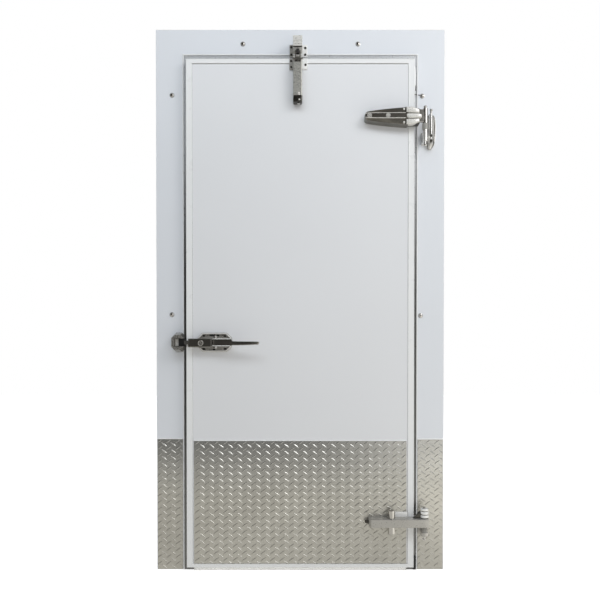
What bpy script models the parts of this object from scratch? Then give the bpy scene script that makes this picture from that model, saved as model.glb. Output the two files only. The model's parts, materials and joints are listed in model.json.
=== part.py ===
"""Insulated cold-room door set: three-sided frame, overlapping leaf, cam-rise hinges,
pull latch with inside release, hooked closer, and tread kick plates.

Origin: floor level, middle of the width, on the frame's front face.
+Z up, -Y towards the person opening the door, hinges on the +X side.
All sizes are in mm; a span is a (low, high) pair on one axis.
"""
import math
from collections import namedtuple

import bmesh
import bpy
from mathutils import Euler, Matrix, Vector

MM = 0.001
GAP = 0.3                      # running and assembly gap
SIDES = (("left", -1), ("right", 1))

# frame
FRAME_HALF_W = 584.0
OPEN_HALF_W = 432.0
FRAME_H = 2190.0
OPEN_H = 2030.0
FRAME_D = 100.0
SHELL_T = 1.0
CORE_INSET = SHELL_T + GAP     # sheet thickness plus gap, outer face to foam

# leaf: a wide flange in front of the frame and a plug inside the opening
LEAF_HALF_W = 457.0
LEAF_Z0 = 20.0
LEAF_Z1 = 2058.0
LEAF_Y0 = -35.0
FLANGE_Y1 = -13.3
PLUG_HALF_W = 418.3
PLUG_Z1 = 2018.3
PLUG_Y1 = 65.3
TRIM_W = 25.0
TRIM_BOTTOM = 16.0

# kick plates
KICK_T = 2.0
KICK_TOP = 530.0

# hinges
PIVOT_X = 494.0
PIVOT_Y = -60.0
PIVOT = (PIVOT_X, PIVOT_Y)
PIN_R = 4.75
BORE_R = 5.15
CAM_SLOPE = 5.0                # mm per radian, two-start
CAM_RISE = CAM_SLOPE * math.pi

# latch
HANDLE_X = -335.0
HANDLE_Y = -70.0
HANDLE = (HANDLE_X, HANDLE_Y)
LATCH_Z = 926.0
ROD_X = -296.0
ROD = (ROD_X, LATCH_Z)

# closer
CLOSER_X = -10.0
CLOSER_Y = -56.6
CLOSER = (CLOSER_X, CLOSER_Y)
ARM_Z = 2048.0
PLATE_X = (-43, 29)            # mounting plates of the closer and its hook

# ---------------------------------------------------------------- finishes
Finish = namedtuple("Finish", "colour roughness metallic")

PAINT = Finish(colour=(0.80, 0.80, 0.81), roughness=0.35, metallic=0.0)
FOAM = Finish(colour=(0.85, 0.78, 0.55), roughness=0.9, metallic=0.0)
STEEL = Finish(colour=(0.55, 0.55, 0.56), roughness=0.3, metallic=1.0)
BOLT_STEEL = STEEL._replace(roughness=0.4)
ARM_STEEL = STEEL._replace(roughness=0.25)
CHROME = Finish(colour=(0.75, 0.75, 0.77), roughness=0.15, metallic=1.0)
CAP_CHROME = CHROME._replace(roughness=0.3)
HOOK_CHROME = CHROME._replace(roughness=0.25)
STRIKE_CHROME = CHROME._replace(roughness=0.2)
HANDLE_CHROME = CHROME._replace(roughness=0.12)
TREAD = Finish(colour=(0.50, 0.49, 0.48), roughness=0.35, metallic=1.0)
PAD_RUBBER = Finish(colour=(0.05, 0.05, 0.05), roughness=0.8, metallic=0.0)
GASKET_RUBBER = PAD_RUBBER._replace(roughness=0.7)
ROLLER_BLACK = Finish(colour=(0.15, 0.15, 0.15), roughness=0.3, metallic=0.0)
NYLON = Finish(colour=(0.90, 0.90, 0.88), roughness=0.5, metallic=0.0)
TRIM_VINYL = Finish(colour=(0.82, 0.82, 0.83), roughness=0.35, metallic=0.0)
SWEEP_VINYL = TRIM_VINYL._replace(roughness=0.6)
CLOSER_SILVER = TRIM_VINYL._replace(roughness=0.3, metallic=0.6)
CLOSER_BLACK = Finish(colour=(0.12, 0.12, 0.13), roughness=0.3, metallic=0.5)
KNOB_RED = Finish(colour=(0.85, 0.12, 0.08), roughness=0.3, metallic=0.0)

for old in list(bpy.data.objects):
    bpy.data.objects.remove(old, do_unlink=True)

scene = bpy.context.scene
parts = bpy.data.collections.new("cold_room_door_set")
cutters = bpy.data.collections.new("cutters")
scene.collection.children.link(parts)
scene.collection.children.link(cutters)


def material(name, finish):
    mat = bpy.data.materials.new(name)
    mat.use_nodes = True
    inputs = mat.node_tree.nodes["Principled BSDF"].inputs
    inputs["Base Color"].default_value = (*finish.colour, 1)
    inputs["Roughness"].default_value = finish.roughness
    inputs["Metallic"].default_value = finish.metallic
    return mat


# ---------------------------------------------------------------- spans and outlines
def around(centre, half):
    return (centre - half, centre + half)


def inset(span, depth):
    return (span[0] + depth, span[1] - depth)


def on_side(sign, a, b):
    """The span between a and b, mirrored to the -X side when sign is -1."""
    return sorted((sign * a, sign * b))


def octagon(x0, x1, z0, z1, corner):
    """A rectangle with its corners cut off."""
    return [(x0 + corner, z0), (x1 - corner, z0), (x1, z0 + corner), (x1, z1 - corner),
            (x1 - corner, z1), (x0 + corner, z1), (x0, z1 - corner), (x0, z0 + corner)]


def egg(x, z, width, height, count=24, taper=0.12):
    """An oval, narrower in its upper half by the taper fraction."""
    points = []
    for k in range(count):
        angle = 2 * math.pi * k / count
        across, up = math.cos(angle), math.sin(angle)
        points.append((x + width / 2 * across * (1 - taper * up), z + height / 2 * up))
    return points


# ---------------------------------------------------------------- solids
def add(name, data, finish):
    piece = bpy.data.objects.new(name, data)
    parts.objects.link(piece)
    if finish:
        data.materials.append(material(name + "_mat", finish))
    return piece


def mesh_from(bm, name):
    mesh = bpy.data.meshes.new(name)
    bm.to_mesh(mesh)
    bm.free()
    return mesh


def bevel_edges(piece, width, segments):
    mod = piece.modifiers.new("edges", 'BEVEL')
    mod.width = width * MM
    mod.segments = segments
    mod.limit_method = 'ANGLE'


def box(name, x, y, z, finish=None, bevel=0.0, segments=1):
    """A block filling a span on each axis."""
    bm = bmesh.new()
    bmesh.ops.create_cube(bm, size=1.0)
    size = [(high - low) * MM for low, high in (x, y, z)]
    bmesh.ops.scale(bm, vec=size, verts=bm.verts)
    piece = add(name, mesh_from(bm, name), finish)
    piece.location = [(low + high) / 2 * MM for low, high in (x, y, z)]
    if bevel:
        bevel_edges(piece, bevel, segments)
    return piece


# rotations that lay local Z along an axis
AXIS_TURN = {'X': (0, math.pi / 2, 0), 'Y': (-math.pi / 2, 0, 0),
             '-Y': (math.pi / 2, 0, 0), 'Z': (0, 0, 0)}


def cyl(name, radius, axis, start, end, centre, finish=None, sides=32):
    """A round bar along an axis; centre holds its other two coordinates in XYZ order."""
    bm = bmesh.new()
    bmesh.ops.create_cone(bm, cap_ends=True, segments=sides, radius1=radius * MM,
                          radius2=radius * MM, depth=(end - start) * MM)
    bm.transform(Euler(AXIS_TURN[axis]).to_matrix().to_4x4())
    piece = add(name, mesh_from(bm, name), finish)
    position = list(centre)
    position.insert('XYZ'.index(axis), (start + end) / 2)
    piece.location = Vector(position) * MM
    piece.data.shade_smooth()
    piece.data.set_sharp_from_angle(angle=math.radians(40))
    return piece


def turned(name, profile, axis, centre, finish=None, steps=32):
    """A turned piece from a profile of (radius, height) pairs."""
    mesh = bpy.data.meshes.new(name)
    edges = [(k, k + 1) for k in range(len(profile) - 1)]
    mesh.from_pydata([(r * MM, 0, h * MM) for r, h in profile], edges, [])
    piece = add(name, mesh, finish)
    mod = piece.modifiers.new("turn", 'SCREW')
    mod.axis = 'Z'
    mod.steps = steps
    mod.render_steps = steps
    mod.use_merge_vertices = True
    mod.merge_threshold = 0.00001
    piece.rotation_euler = AXIS_TURN[axis]
    piece.location = Vector(centre) * MM
    return piece


def bake(source, finish=None):
    """Replace a curve or modified object by a plain mesh object of the same name and place."""
    bpy.context.view_layer.update()
    depsgraph = bpy.context.evaluated_depsgraph_get()
    mesh = bpy.data.meshes.new_from_object(source.evaluated_get(depsgraph))
    bm = bmesh.new()
    bm.from_mesh(mesh)
    bmesh.ops.remove_doubles(bm, verts=bm.verts, dist=0.00001)
    bmesh.ops.recalc_face_normals(bm, faces=bm.faces)
    bm.to_mesh(mesh)
    bm.free()
    name = source.name
    matrix = source.matrix_world.copy()
    bpy.data.objects.remove(source, do_unlink=True)
    mesh.name = name
    piece = add(name, mesh, finish)
    piece.matrix_world = matrix
    return piece


def add_curve(name, dimensions, points):
    """A poly curve through points in mm, not yet closed or thickened."""
    curve = bpy.data.curves.new(name, 'CURVE')
    curve.dimensions = dimensions
    spline = curve.splines.new('POLY')
    spline.points.add(len(points) - 1)
    for target, point in zip(spline.points, points):
        target.co = (*(c * MM for c in point), 1)
    return add(name, curve, None)


# drawing plane: its normal, and the rotation from the curve's own XY plane
PLANES = {
    'XY': (Vector((0, 0, 1)), Matrix.Identity(4)),
    'XZ': (Vector((0, 1, 0)), Matrix.Rotation(math.pi / 2, 4, 'X')),
    'YZ': (Vector((1, 0, 0)),
           Matrix(((0, 0, 1, 0), (1, 0, 0, 0), (0, 1, 0, 0), (0, 0, 0, 1)))),
}


def outline(name, points, plane, start, end, finish=None, bevel=0.0):
    """A flat outline drawn in a plane, thick from start to end on the remaining axis."""
    flat = add_curve(name, '2D', [(u, v, 0) for u, v in points])
    flat.data.fill_mode = 'BOTH'
    flat.data.extrude = (end - start) / 2 * MM
    flat.data.splines[0].use_cyclic_u = True
    normal, rotation = PLANES[plane]
    flat.matrix_world = Matrix.Translation(normal * ((start + end) / 2 * MM)) @ rotation
    piece = bake(flat, finish)
    if bevel:
        bevel_edges(piece, bevel, 1)
    return piece


def coil(name, axis, start, length, radius, wire_r, turns, finish, per_turn=12):
    """A round-wire helix from a point, running along X or Z."""
    count = int(turns * per_turn)
    points = []
    for k in range(count + 1):
        angle = 2 * math.pi * k / per_turn
        along = length * k / count
        u, v = radius * math.cos(angle), radius * math.sin(angle)
        offset = (along, u, v) if axis == 'X' else (u, v, along)
        points.append([s + d for s, d in zip(start, offset)])
    wire = add_curve(name, '3D', points)
    wire.data.bevel_depth = wire_r * MM
    wire.data.bevel_resolution = 1
    wire.data.use_fill_caps = True
    return bake(wire, finish)


def combine(piece, label, operation, tools):
    for tool in tools:
        parts.objects.unlink(tool)
        cutters.objects.link(tool)
        tool.hide_render = True
        tool.display_type = 'WIRE'
        mod = piece.modifiers.new(label, 'BOOLEAN')
        mod.operation = operation
        mod.solver = 'EXACT'
        mod.object = tool


def cut(piece, *tools):
    combine(piece, "cut", 'DIFFERENCE', tools)


def join(piece, *tools):
    combine(piece, "join", 'UNION', tools)


def pivot_at(piece, point):
    """Move an object's origin to a point without moving its shape."""
    bpy.context.view_layer.update()
    shift = piece.matrix_world.inverted() @ (Vector(point) * MM)
    piece.data.transform(Matrix.Translation(-shift))
    piece.matrix_world = piece.matrix_world @ Matrix.Translation(shift)


# ---------------------------------------------------------------- frame
HOLLOW_OVERRUN = 20            # the hollow runs past both ends of its shell


def frame_member(name, x, y, z, along):
    """A sheet shell, open at both ends, around a foam core."""
    def shrunk(across, lengthways):
        return [inset(span, lengthways if axis == along else across)
                for axis, span in zip('XYZ', (x, y, z))]

    shell = box(name + "_shell", x, y, z, PAINT)
    cut(shell, box(name + "_shell_hollow", *shrunk(SHELL_T, -HOLLOW_OVERRUN)))
    box(name + "_core", *shrunk(CORE_INSET, 0), FOAM)


def frame():
    for side, sign in SIDES:
        frame_member("jamb_" + side, on_side(sign, FRAME_HALF_W, OPEN_HALF_W),
                     (0, FRAME_D), (0, FRAME_H), 'Z')
    frame_member("header", around(0, OPEN_HALF_W - GAP), (0, FRAME_D), (OPEN_H, FRAME_H), 'X')


def seal_faces():
    """Stainless faces behind the gasket, and a rubber pad at the foot of the right one."""
    outer_x, inner_x = 473.0, 430.0
    y = (-1.8, -GAP)
    side_top = OPEN_H + 0.5
    for side, sign in SIDES:
        box("seal_face_" + side, on_side(sign, outer_x, inner_x), y, (0.5, side_top), STEEL)
    box("seal_face_header", around(0, outer_x), y, (side_top + GAP, 2092), STEEL)
    box("seal_end_pad", (459, 468), (-12, -2.1), (3, 57), PAD_RUBBER)


def jamb_kick_plates():
    for side, sign in SIDES:
        box("kick_plate_jamb_" + side, on_side(sign, 581.0, 474.0), (-KICK_T - GAP, -GAP),
            (2, KICK_TOP), TREAD)


# domed caps over the panel fixings: name, x, z
CAPS = (("header_left", -231.6, 2132), ("header_right", 233.6, 2132),
        ("left_upper", -518.4, 1926), ("right_upper", 493.6, 1922.6),
        ("left_middle", -520.8, 1039), ("right_middle", 488.8, 1035))


def caps():
    radius, rim, dome = 9.0, 1.5, 5.0
    profile = [(0, rim + dome)]
    for degrees in (20, 40, 60, 80):
        angle = math.radians(degrees)
        profile.append((radius * math.sin(angle), rim + dome * math.cos(angle)))
    profile += [(radius, 0), (0, 0)]
    for name, x, z in CAPS:
        turned("cap_" + name, profile, '-Y', (x, -GAP, z), CAP_CHROME, steps=20)


def latch_strike():
    """A raised keeper, open to the front and to the leaf."""
    strike = outline("latch_strike", octagon(-517, -463, 887, 966, 14), 'XZ', -56, -2.2,
                     STRIKE_CHROME, bevel=3.0)
    cut(strike, box("strike_pocket", (-500, -440), (-70, -38), (911, 951)))
    join(strike, box("strike_foot", (-514, -475), (-3.2, -GAP), (891, 962)))


HOOK_BACK_Y = -2.1
HOOK_OUTLINE = [               # y, z
    (HOOK_BACK_Y, 2077), (-4.5, 2077), (-4.5, 2096), (-66, 2092.5), (-71, 2096),
    (-71, 2128), (-66, 2134), (-4.5, 2134), (HOOK_BACK_Y, 2134)]


def closer_hook():
    hook = outline("closer_hook", HOOK_OUTLINE, 'YZ', -29, 9, HOOK_CHROME)
    join(hook, box("hook_plate", PLATE_X, (-4.6, -GAP), (2077, 2127)))
    # clears the header seal face
    cut(hook, box("hook_step", (-60, 40), (HOOK_BACK_Y, 1), (2070, 2092.3)))


# ---------------------------------------------------------------- hinges
CAM_SIDES = 48
CAM_FLOOR = 3.0                # least thickness of a cam
CAM_GAP = 0.5                  # between the two sloping faces
STEP_LAG = math.radians(11)    # the upper cam's step sits this far past the lower one's
WEB_X = around(PIVOT_X, 6)
RELIEF_X = (458, 520)          # cutaway behind the hinge end of both straps


def cam(name, z_flat, z_slope, upper):
    """A two-start helical ring, flat at z_flat and rising from z_slope on its other face."""
    low, high = sorted((z_flat, z_slope))
    inner_r, outer_r = 5.4, 11.5
    profile = [(inner_r, high), (outer_r, high), (outer_r, low), (inner_r, low), (inner_r, high)]
    ring = bake(turned(name, profile, 'Z', (*PIVOT, 0), steps=CAM_SIDES))
    middle = (low + high) / 2 * MM
    for vertex in ring.data.vertices:
        x, y, z = vertex.co
        if (z < middle) != upper:
            continue
        angle = math.atan2(y, x) % math.pi
        if angle > math.pi - 1e-4:             # rounding just short of a start
            angle = 0.0
        rise = CAM_SLOPE * angle
        if upper and angle < STEP_LAG:
            rise += CAM_RISE
        vertex.co.z = (z_slope + rise) * MM
    ring.data.materials.append(material(name + "_mat.001", NYLON))


def hinge_cams(hinge, z):
    """Lower cam standing on z, upper cam above it. Returns the height of the upper cam's top."""
    lower_slope = z + CAM_FLOOR
    upper_slope = lower_slope + CAM_GAP
    top = upper_slope + CAM_RISE + CAM_FLOOR
    cam(hinge + "_cam_lower", z, lower_slope, upper=False)
    cam(hinge + "_cam_upper", top, upper_slope, upper=True)
    return top


def hinge_pin(hinge, z0, z1):
    """A pin whose two heads have their inner faces at z0 and z1."""
    head_r, head_t = 7.5, 4.5
    pin = cyl(hinge + "_pin", PIN_R, 'Z', z0 - 1, z1 + 1, PIVOT, STEEL)
    join(pin, cyl(hinge + "_head_a", head_r, 'Z', z0 - head_t, z0, PIVOT),
         cyl(hinge + "_head_b", head_r, 'Z', z1, z1 + head_t, PIVOT))


def bore(prefix, z0, z1):
    return cyl(prefix + "_bore", BORE_R, 'Z', z0, z1, PIVOT)


def upper_hinge():
    # frame side: oval flange, web and barrel
    barrel_top = 1768
    flange = outline("upper_hinge_flange", egg(526, 1766, 46, 146), 'XZ', -24, -GAP, CHROME,
                     bevel=3.0)
    join(flange, box("uf_plate", (480, 545), (-5.0, -GAP), (1716, 1774)),
         box("uf_web", WEB_X, (-58, -1), (1722.5, 1767)),
         cyl("uf_barrel", 13, 'Z', 1722, barrel_top, PIVOT))
    cut(flange, bore("uf", 1700, 1790))
    cams_top = hinge_cams("upper_hinge", barrel_top + GAP)

    # leaf side: hollow tapered strap with a raised rib, ending in a knuckle
    strap_z = 1817.0
    knuckle_z = (cams_top + GAP, 1852)
    shape = [                  # x, height from the strap's centre line
        (255, -10), (262, -17), (400, -34.5), (452, -34.5),
        (452, 35), (400, 35), (262, 17), (255, 10)]
    hollow = [(270, -12), (400, -29), (440, -29), (440, 29), (400, 29), (270, 12)]
    rib = [(262, -70), (275, -77), (418, -80), (418, -70)]     # x, y
    strap = outline("upper_hinge_strap", [(x, strap_z + z) for x, z in shape], 'XZ',
                    -72, -35.3, CHROME)
    cut(strap, outline("us_hollow", [(x, strap_z + z) for x, z in hollow], 'XZ', -67, -20))
    join(strap, outline("us_rib", rib, 'XY', strap_z - 10, strap_z + 10),
         box("us_block", (410, 481), (-70, -38), knuckle_z),
         cyl("us_knuckle", 13.5, 'Z', *knuckle_z, PIVOT))
    cut(strap, box("us_relief", RELIEF_X, (-46, 10), (1700, 1900)), bore("us", 1760, 1870))
    hinge_pin("upper_hinge", 1711, 1852.6)


def lower_hinge():
    # frame side
    barrel_top = 171
    flange = outline("lower_hinge_flange", octagon(479, 516, 146, 176, 5), 'XZ', -7.0, -2.7,
                     CHROME)
    join(flange, box("lf_web", WEB_X, (-58, -4), (156.5, 170.5)),
         cyl("lf_barrel", 15, 'Z', 156, barrel_top, PIVOT))
    cut(flange, bore("lf", 140, 190))
    cams_top = hinge_cams("lower_hinge", barrel_top + GAP)

    # leaf side: a deep bar whose knuckle stands on the cams
    back_y = -37.6
    stud_at = (363, -64)
    tip = [(255, back_y), (255, -44), (262, -60), (278, -66), (278, back_y)]   # x, y
    strap = box("lower_hinge_strap", (274, 486), (-85, back_y), (194.6, 227.5), CHROME,
                bevel=2.5)
    join(strap, outline("ls_tip", tip, 'XY', 204, 217),
         cyl("ls_knuckle", 15, 'Z', 195.2, 267, PIVOT))
    cut(strap, bore("ls", 150, 290), cyl("ls_stud_hole", 10.4, 'Z', 150, 280, stud_at),
        box("ls_under", (282, 330), (-78, -20), (180, 220)),
        box("ls_relief", RELIEF_X, (-44.5, 10), (150, 290)),
        cyl("ls_cam_room", 12.0, 'Z', 150, cams_top + GAP, PIVOT))
    stud = cyl("lower_hinge_stud", 10, 'Z', 186, 240, stud_at, STEEL)
    join(stud, cyl("stud_a", 14, 'Z', 166, 194.2, stud_at),
         cyl("stud_b", 14, 'Z', 227.9, 260, stud_at))
    hinge_pin("lower_hinge", 145, 267.6)


# ---------------------------------------------------------------- leaf
SKIN_HALF_W = LEAF_HALF_W - TRIM_W
BODY_Z = (LEAF_Z0 + TRIM_BOTTOM, LEAF_Z1 - TRIM_W)     # between the bottom and top trims
LIP_Y = -17.0                  # front of the trim lips that reach in to the plug
LIP_CLEAR = 0.7                # between the plug and the lips
FOAM_CLEAR = 0.4               # between the foam and the trims
GASKET_W = 19


def release_hole(name, radius, back_y):
    return cyl(name, radius, 'Y', -60, back_y, ROD, sides=24)


def leaf_body():
    core_z = inset(BODY_Z, FOAM_CLEAR)
    core = box("leaf_core", around(0, SKIN_HALF_W - FOAM_CLEAR),
               (LEAF_Y0 + CORE_INSET, LIP_Y - FOAM_CLEAR), core_z, FOAM)
    join(core, box("core_plug", around(0, PLUG_HALF_W - CORE_INSET), (-20, PLUG_Y1 - CORE_INSET),
                   (core_z[0], PLUG_Z1 - CORE_INSET)))
    cut(core, release_hole("hole_leaf_core", 8.4, 90))

    skin = box("leaf_outer_skin", around(0, SKIN_HALF_W), (LEAF_Y0, LEAF_Y0 + SHELL_T),
               inset(BODY_Z, GAP), PAINT)
    cut(skin, release_hole("hole_skin", 6.4, 0))

    # tray around the plug, open to the front
    pan = box("leaf_inner_pan", around(0, PLUG_HALF_W), (FLANGE_Y1 + GAP, PLUG_Y1),
              (BODY_Z[0] - SHELL_T, PLUG_Z1), PAINT)
    cut(pan, box("pan_hollow", around(0, PLUG_HALF_W - SHELL_T), (-30, PLUG_Y1 - SHELL_T),
                 (BODY_Z[0], PLUG_Z1 - SHELL_T)),
        box("pan_low", (-500, 500), (-40, -12.7), (0, BODY_Z[0] + GAP)),
        release_hole("hole_leaf_inner_pan", 8.4, 90))


def leaf_trims():
    skin_x = SKIN_HALF_W + GAP
    lip_x = PLUG_HALF_W + LIP_CLEAR
    lip_z = PLUG_Z1 + LIP_CLEAR
    top_z = BODY_Z[1]
    section = [                # x, y
        (LEAF_HALF_W, LEAF_Y0), (skin_x, LEAF_Y0), (skin_x, LIP_Y),
        (lip_x, LIP_Y), (lip_x, FLANGE_Y1), (LEAF_HALF_W, FLANGE_Y1)]
    for side, sign in SIDES:
        trim = outline("leaf_trim_" + side, [(sign * x, y) for x, y in section], 'XY',
                       *inset(BODY_Z, GAP), TRIM_VINYL)
        # the side lips stop under the top lip
        cut(trim, box("lip_end_" + side, on_side(sign, 400.0, 500.0), (LIP_Y - 0.4, 0),
                      (lip_z - GAP, LEAF_Z1)))
    top_section = [            # y, z
        (LEAF_Y0, LEAF_Z1), (LEAF_Y0, top_z), (LIP_Y, top_z),
        (LIP_Y, lip_z), (FLANGE_Y1, lip_z), (FLANGE_Y1, LEAF_Z1)]
    outline("leaf_trim_top", top_section, 'YZ', -LEAF_HALF_W, LEAF_HALF_W, TRIM_VINYL)
    box("leaf_trim_bottom", around(0, LEAF_HALF_W), (LEAF_Y0, FLANGE_Y1), (LEAF_Z0, BODY_Z[0]),
        TRIM_VINYL)


def leaf_seals():
    half_w = LEAF_HALF_W - 2
    top = LEAF_Z1 - 2
    gasket = box("magnetic_gasket", around(0, half_w), (FLANGE_Y1 + GAP, -2.2),
                 (LEAF_Z0 + 2, top), GASKET_RUBBER)
    # open at the foot
    cut(gasket, box("gasket_open", around(0, half_w - GASKET_W), (-30, 20), (0, top - GASKET_W)))
    box("bottom_sweep", (-430, 430), (-30, -14), (4, LEAF_Z0 - GAP), SWEEP_VINYL)


def leaf_kick_plate():
    back = LEAF_Y0 - GAP
    box("kick_plate_door", (-427, 427), (back - KICK_T, back), (37, KICK_TOP - 2), TREAD)


# ---------------------------------------------------------------- latch
DISH_FLOOR_Y = -39.3
HOUSING_X = (-443, -349.5)
HOUSING_Z = (906, 942)
HOUSING_FRONT = -75
HOUSING_WALL = 3
KEY_X = -393
KEY_Z = LATCH_Z - 2
KEY = (KEY_X, KEY_Z)
SLOT_X = around(HANDLE_X, 8)   # pivot ears, and the window in the bolt


def latch_base():
    """A dished plate with two ears that carry the handle."""
    base = outline("latch_base", octagon(-409, -274, 889, 965, 18), 'XZ', -49.3, -35.3, CHROME)
    cut(base, outline("base_dish", octagon(-404, -279, 894, 960, 16), 'XZ', -60, DISH_FLOOR_Y),
        box("base_gate", (-420, -390), (-60, DISH_FLOOR_Y), inset(HOUSING_Z, -0.7)),
        cyl("base_rod_hole", 5.6, 'Y', -60, -20, ROD))
    join(base, box("ear_top", SLOT_X, (-77, -38), (942.8, 947.5)),
         box("ear_low", SLOT_X, (-77, -38), (904.5, 909.7)))
    cut(base, cyl("ear_bore", 3.9, 'Z', 890, 960, HANDLE))


def latch_housing():
    housing = box("latch_housing", HOUSING_X, (HOUSING_FRONT, -39.6), HOUSING_Z, CHROME,
                  bevel=4.0, segments=2)
    cut(housing, box("housing_hollow", inset(HOUSING_X, HOUSING_WALL),
                     (HOUSING_FRONT + HOUSING_WALL, -20), inset(HOUSING_Z, HOUSING_WALL)),
        box("housing_gate", (-500, -300), (-52, -20), around(LATCH_Z, 10)),
        cyl("housing_key_hole", 11.4, 'Y', -90, -60, KEY))


def key_cylinder():
    key = cyl("key_cylinder", 11, 'Y', -78.5, -60, KEY, STEEL)
    join(key, box("key_tail", around(KEY_X, 3), (-61, -57.5), around(KEY_Z, 7)))
    cut(key, box("keyway", around(KEY_X, 1), (-90, -73), around(KEY_Z, 5)))


def latch_bolt():
    nose = [(-470, -55), (-459, -55), (-466.5, -46)]           # x, y
    bolt = box("latch_bolt", (-466, -322), (-50, -42), around(LATCH_Z, 8), BOLT_STEEL)
    join(bolt, box("bolt_lug", (-379, -373), (-64, -48), around(LATCH_Z, 6)))
    cut(bolt, box("bolt_window", SLOT_X, (-60, -30), around(LATCH_Z, 5)),
        outline("bolt_nose", nose, 'XY', 900, 950))
    coil("latch_spring", 'X', (-371.8, -58, LATCH_Z), length=17.8, radius=4.2, wire_r=0.7,
         turns=5, finish=STEEL)


GRIP_ROOT = [                  # x, y
    (-335, -82), (-300, -86), (-266, -91), (-266, -75), (-286, -62), (-335, -62)]
LEVER = [(-275, -89), (-225, -100), (-168, -98), (-161, -94), (-161, -87), (-225, -86),
         (-275, -76)]


def latch_handle():
    handle = outline("latch_handle", GRIP_ROOT, 'XY', 912, 941, HANDLE_CHROME)
    join(handle, cyl("handle_hub", 12, 'Z', 911, 941.5, HANDLE),
         outline("handle_lever", LEVER, 'XY', 913.5, 930.5),
         box("handle_tail", around(HANDLE_X, 3), (-64, -43), around(LATCH_Z, 4)))
    cut(handle, cyl("hub_bore", 3.85, 'Z', 890, 960, HANDLE))
    pivot_at(handle, (*HANDLE, LATCH_Z))
    pin = cyl("latch_pivot_pin", 3.5, 'Z', 902, 950, HANDLE, STEEL, sides=24)
    join(pin, cyl("pp_head", 5.5, 'Z', 947.9, 951.5, HANDLE, sides=24))


KNOB_PROFILE = [               # radius, height
    (5.3, 16.3), (18, 16.3), (22, 13), (22, 4), (19, 0.8), (12, 0), (5.3, 0), (5.3, 16.3)]


def inside_release():
    """A push rod through the leaf in a flanged sleeve, with a knob on the inside."""
    sleeve = cyl("release_sleeve", 8, 'Y', -33.8, 67, ROD, STEEL, sides=24)
    join(sleeve, cyl("sleeve_flange", 15, 'Y', 65.6, 68.4, ROD, sides=24))
    cut(sleeve, cyl("sleeve_bore", 5.4, 'Y', -60, 90, ROD, sides=24))
    rod = cyl("release_rod", 5, 'Y', -61.2, 92, ROD, STEEL, sides=24)
    cut(rod, box("rod_end", around(ROD_X, 14), (91.5, 99), around(LATCH_Z, 11)))
    turned("release_knob", KNOB_PROFILE, 'Y', (ROD_X, 83.3, LATCH_Z), KNOB_RED, steps=28)


# ---------------------------------------------------------------- closer
BODY_BOTTOM = 1898
BODY_TOP = 2028
ADJUSTER_X = CLOSER_X + 4
ADJUSTER_Y = CLOSER_Y - 2
ADJUSTER = (ADJUSTER_X, ADJUSTER_Y)
ARM_AXIS = (CLOSER_Y, ARM_Z)
ROLLER_AXIS = (CLOSER_Y + 4.6, 2078)


def closer_body():
    ear_y, ear_z = (-66, -38), (2012, 2057)
    body = cyl("closer_body", 17, 'Z', BODY_BOTTOM, BODY_TOP, CLOSER, CLOSER_SILVER)
    join(body, box("cb_plate", PLATE_X, (-39.8, -35.3), (2003, 2056)),
         box("cb_saddle", around(CLOSER_X, 14), (-56, -37), (1955, 2052)),
         box("cb_ear_a", (-27, -22), ear_y, ear_z),
         box("cb_ear_b", (2, 7), ear_y, ear_z))
    cut(body, box("cb_slot", (-22, 2), (-80, -41.5), (BODY_TOP, 2070)),
        cyl("cb_cylinder", 12, 'Z', 1880, 2018, CLOSER),
        cyl("cb_neck", 5.5, 'Z', 2000, 2040, CLOSER),
        cyl("cb_axle_hole", 3.4, 'X', -40, 20, ARM_AXIS, sides=24))


def closer_piston():
    piston = cyl("closer_piston", 5, 'Z', 1935, 2031.5, CLOSER, STEEL, sides=24)
    join(piston, cyl("piston_head", 11.7, 'Z', 1925, 1937, CLOSER),
         cyl("piston_tip", 2.4, 'Z', 2028, 2038.8, CLOSER, sides=16))
    coil("closer_spring", 'Z', (*CLOSER, 1938.4), length=78.4, radius=8.3, wire_r=1.3,
         turns=7, finish=STEEL)


END_CAP_PROFILE = [            # radius, height from the cap's shoulder
    (0, 14), (11.6, 14), (11.6, 0), (17.5, 0), (17.5, -28), (14.5, -32), (0, -32), (0, 14)]


def closer_end_cap():
    cap = turned("closer_end_cap", END_CAP_PROFILE, 'Z', (*CLOSER, BODY_BOTTOM - 0.4),
                 CLOSER_BLACK)
    cut(cap, cyl("cap_screw_hole", 4.3, 'Z', 1850, 1885, ADJUSTER, sides=20))
    adjuster = cyl("closer_adjuster", 4, 'Z', 1863.2, 1880, ADJUSTER, STEEL, sides=20)
    cut(adjuster, box("adjuster_slot", around(ADJUSTER_X, 8), around(ADJUSTER_Y, 0.5),
                      (1860, 1865)))
    pivot_at(adjuster, (*ADJUSTER, 1870))


CAM_BASE_R = 8.0
STROKE = 13.1                  # piston mm per radian of arm
LIFT_START = 15                # degrees of turn before the spiral begins to rise
LIFT_SWEEP = 45                # degrees over which it rises
CREST_END = 60                 # degrees of turn where it starts to fall
FALL = 0.16                    # mm per degree
BAR = [                        # y from the closer's axis, z
    (-6, ARM_Z), (-2, 2080), (2, 2083.5), (8, 2083.5), (11, 2080), (7, ARM_Z)]
ROLLER_PROFILE = [             # radius, height
    (3.3, 6.4), (9.5, 6.4), (11, 5), (11, -5), (9.5, -6.4), (3.3, -6.4), (3.3, 6.4)]


def arm_cam_points():
    """The spiral hub as (y, z), from straight down and turning towards the front."""
    points = []
    for turn in range(0, 360, 12):
        angle = math.radians(-90 - turn)
        lift = STROKE * math.radians(min(max(turn - LIFT_START, 0), LIFT_SWEEP))
        fall = max(turn - CREST_END, 0) * FALL
        radius = max(CAM_BASE_R, CAM_BASE_R + lift - fall)
        points.append((CLOSER_Y + radius * math.cos(angle), ARM_Z + radius * math.sin(angle)))
    return points


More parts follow.
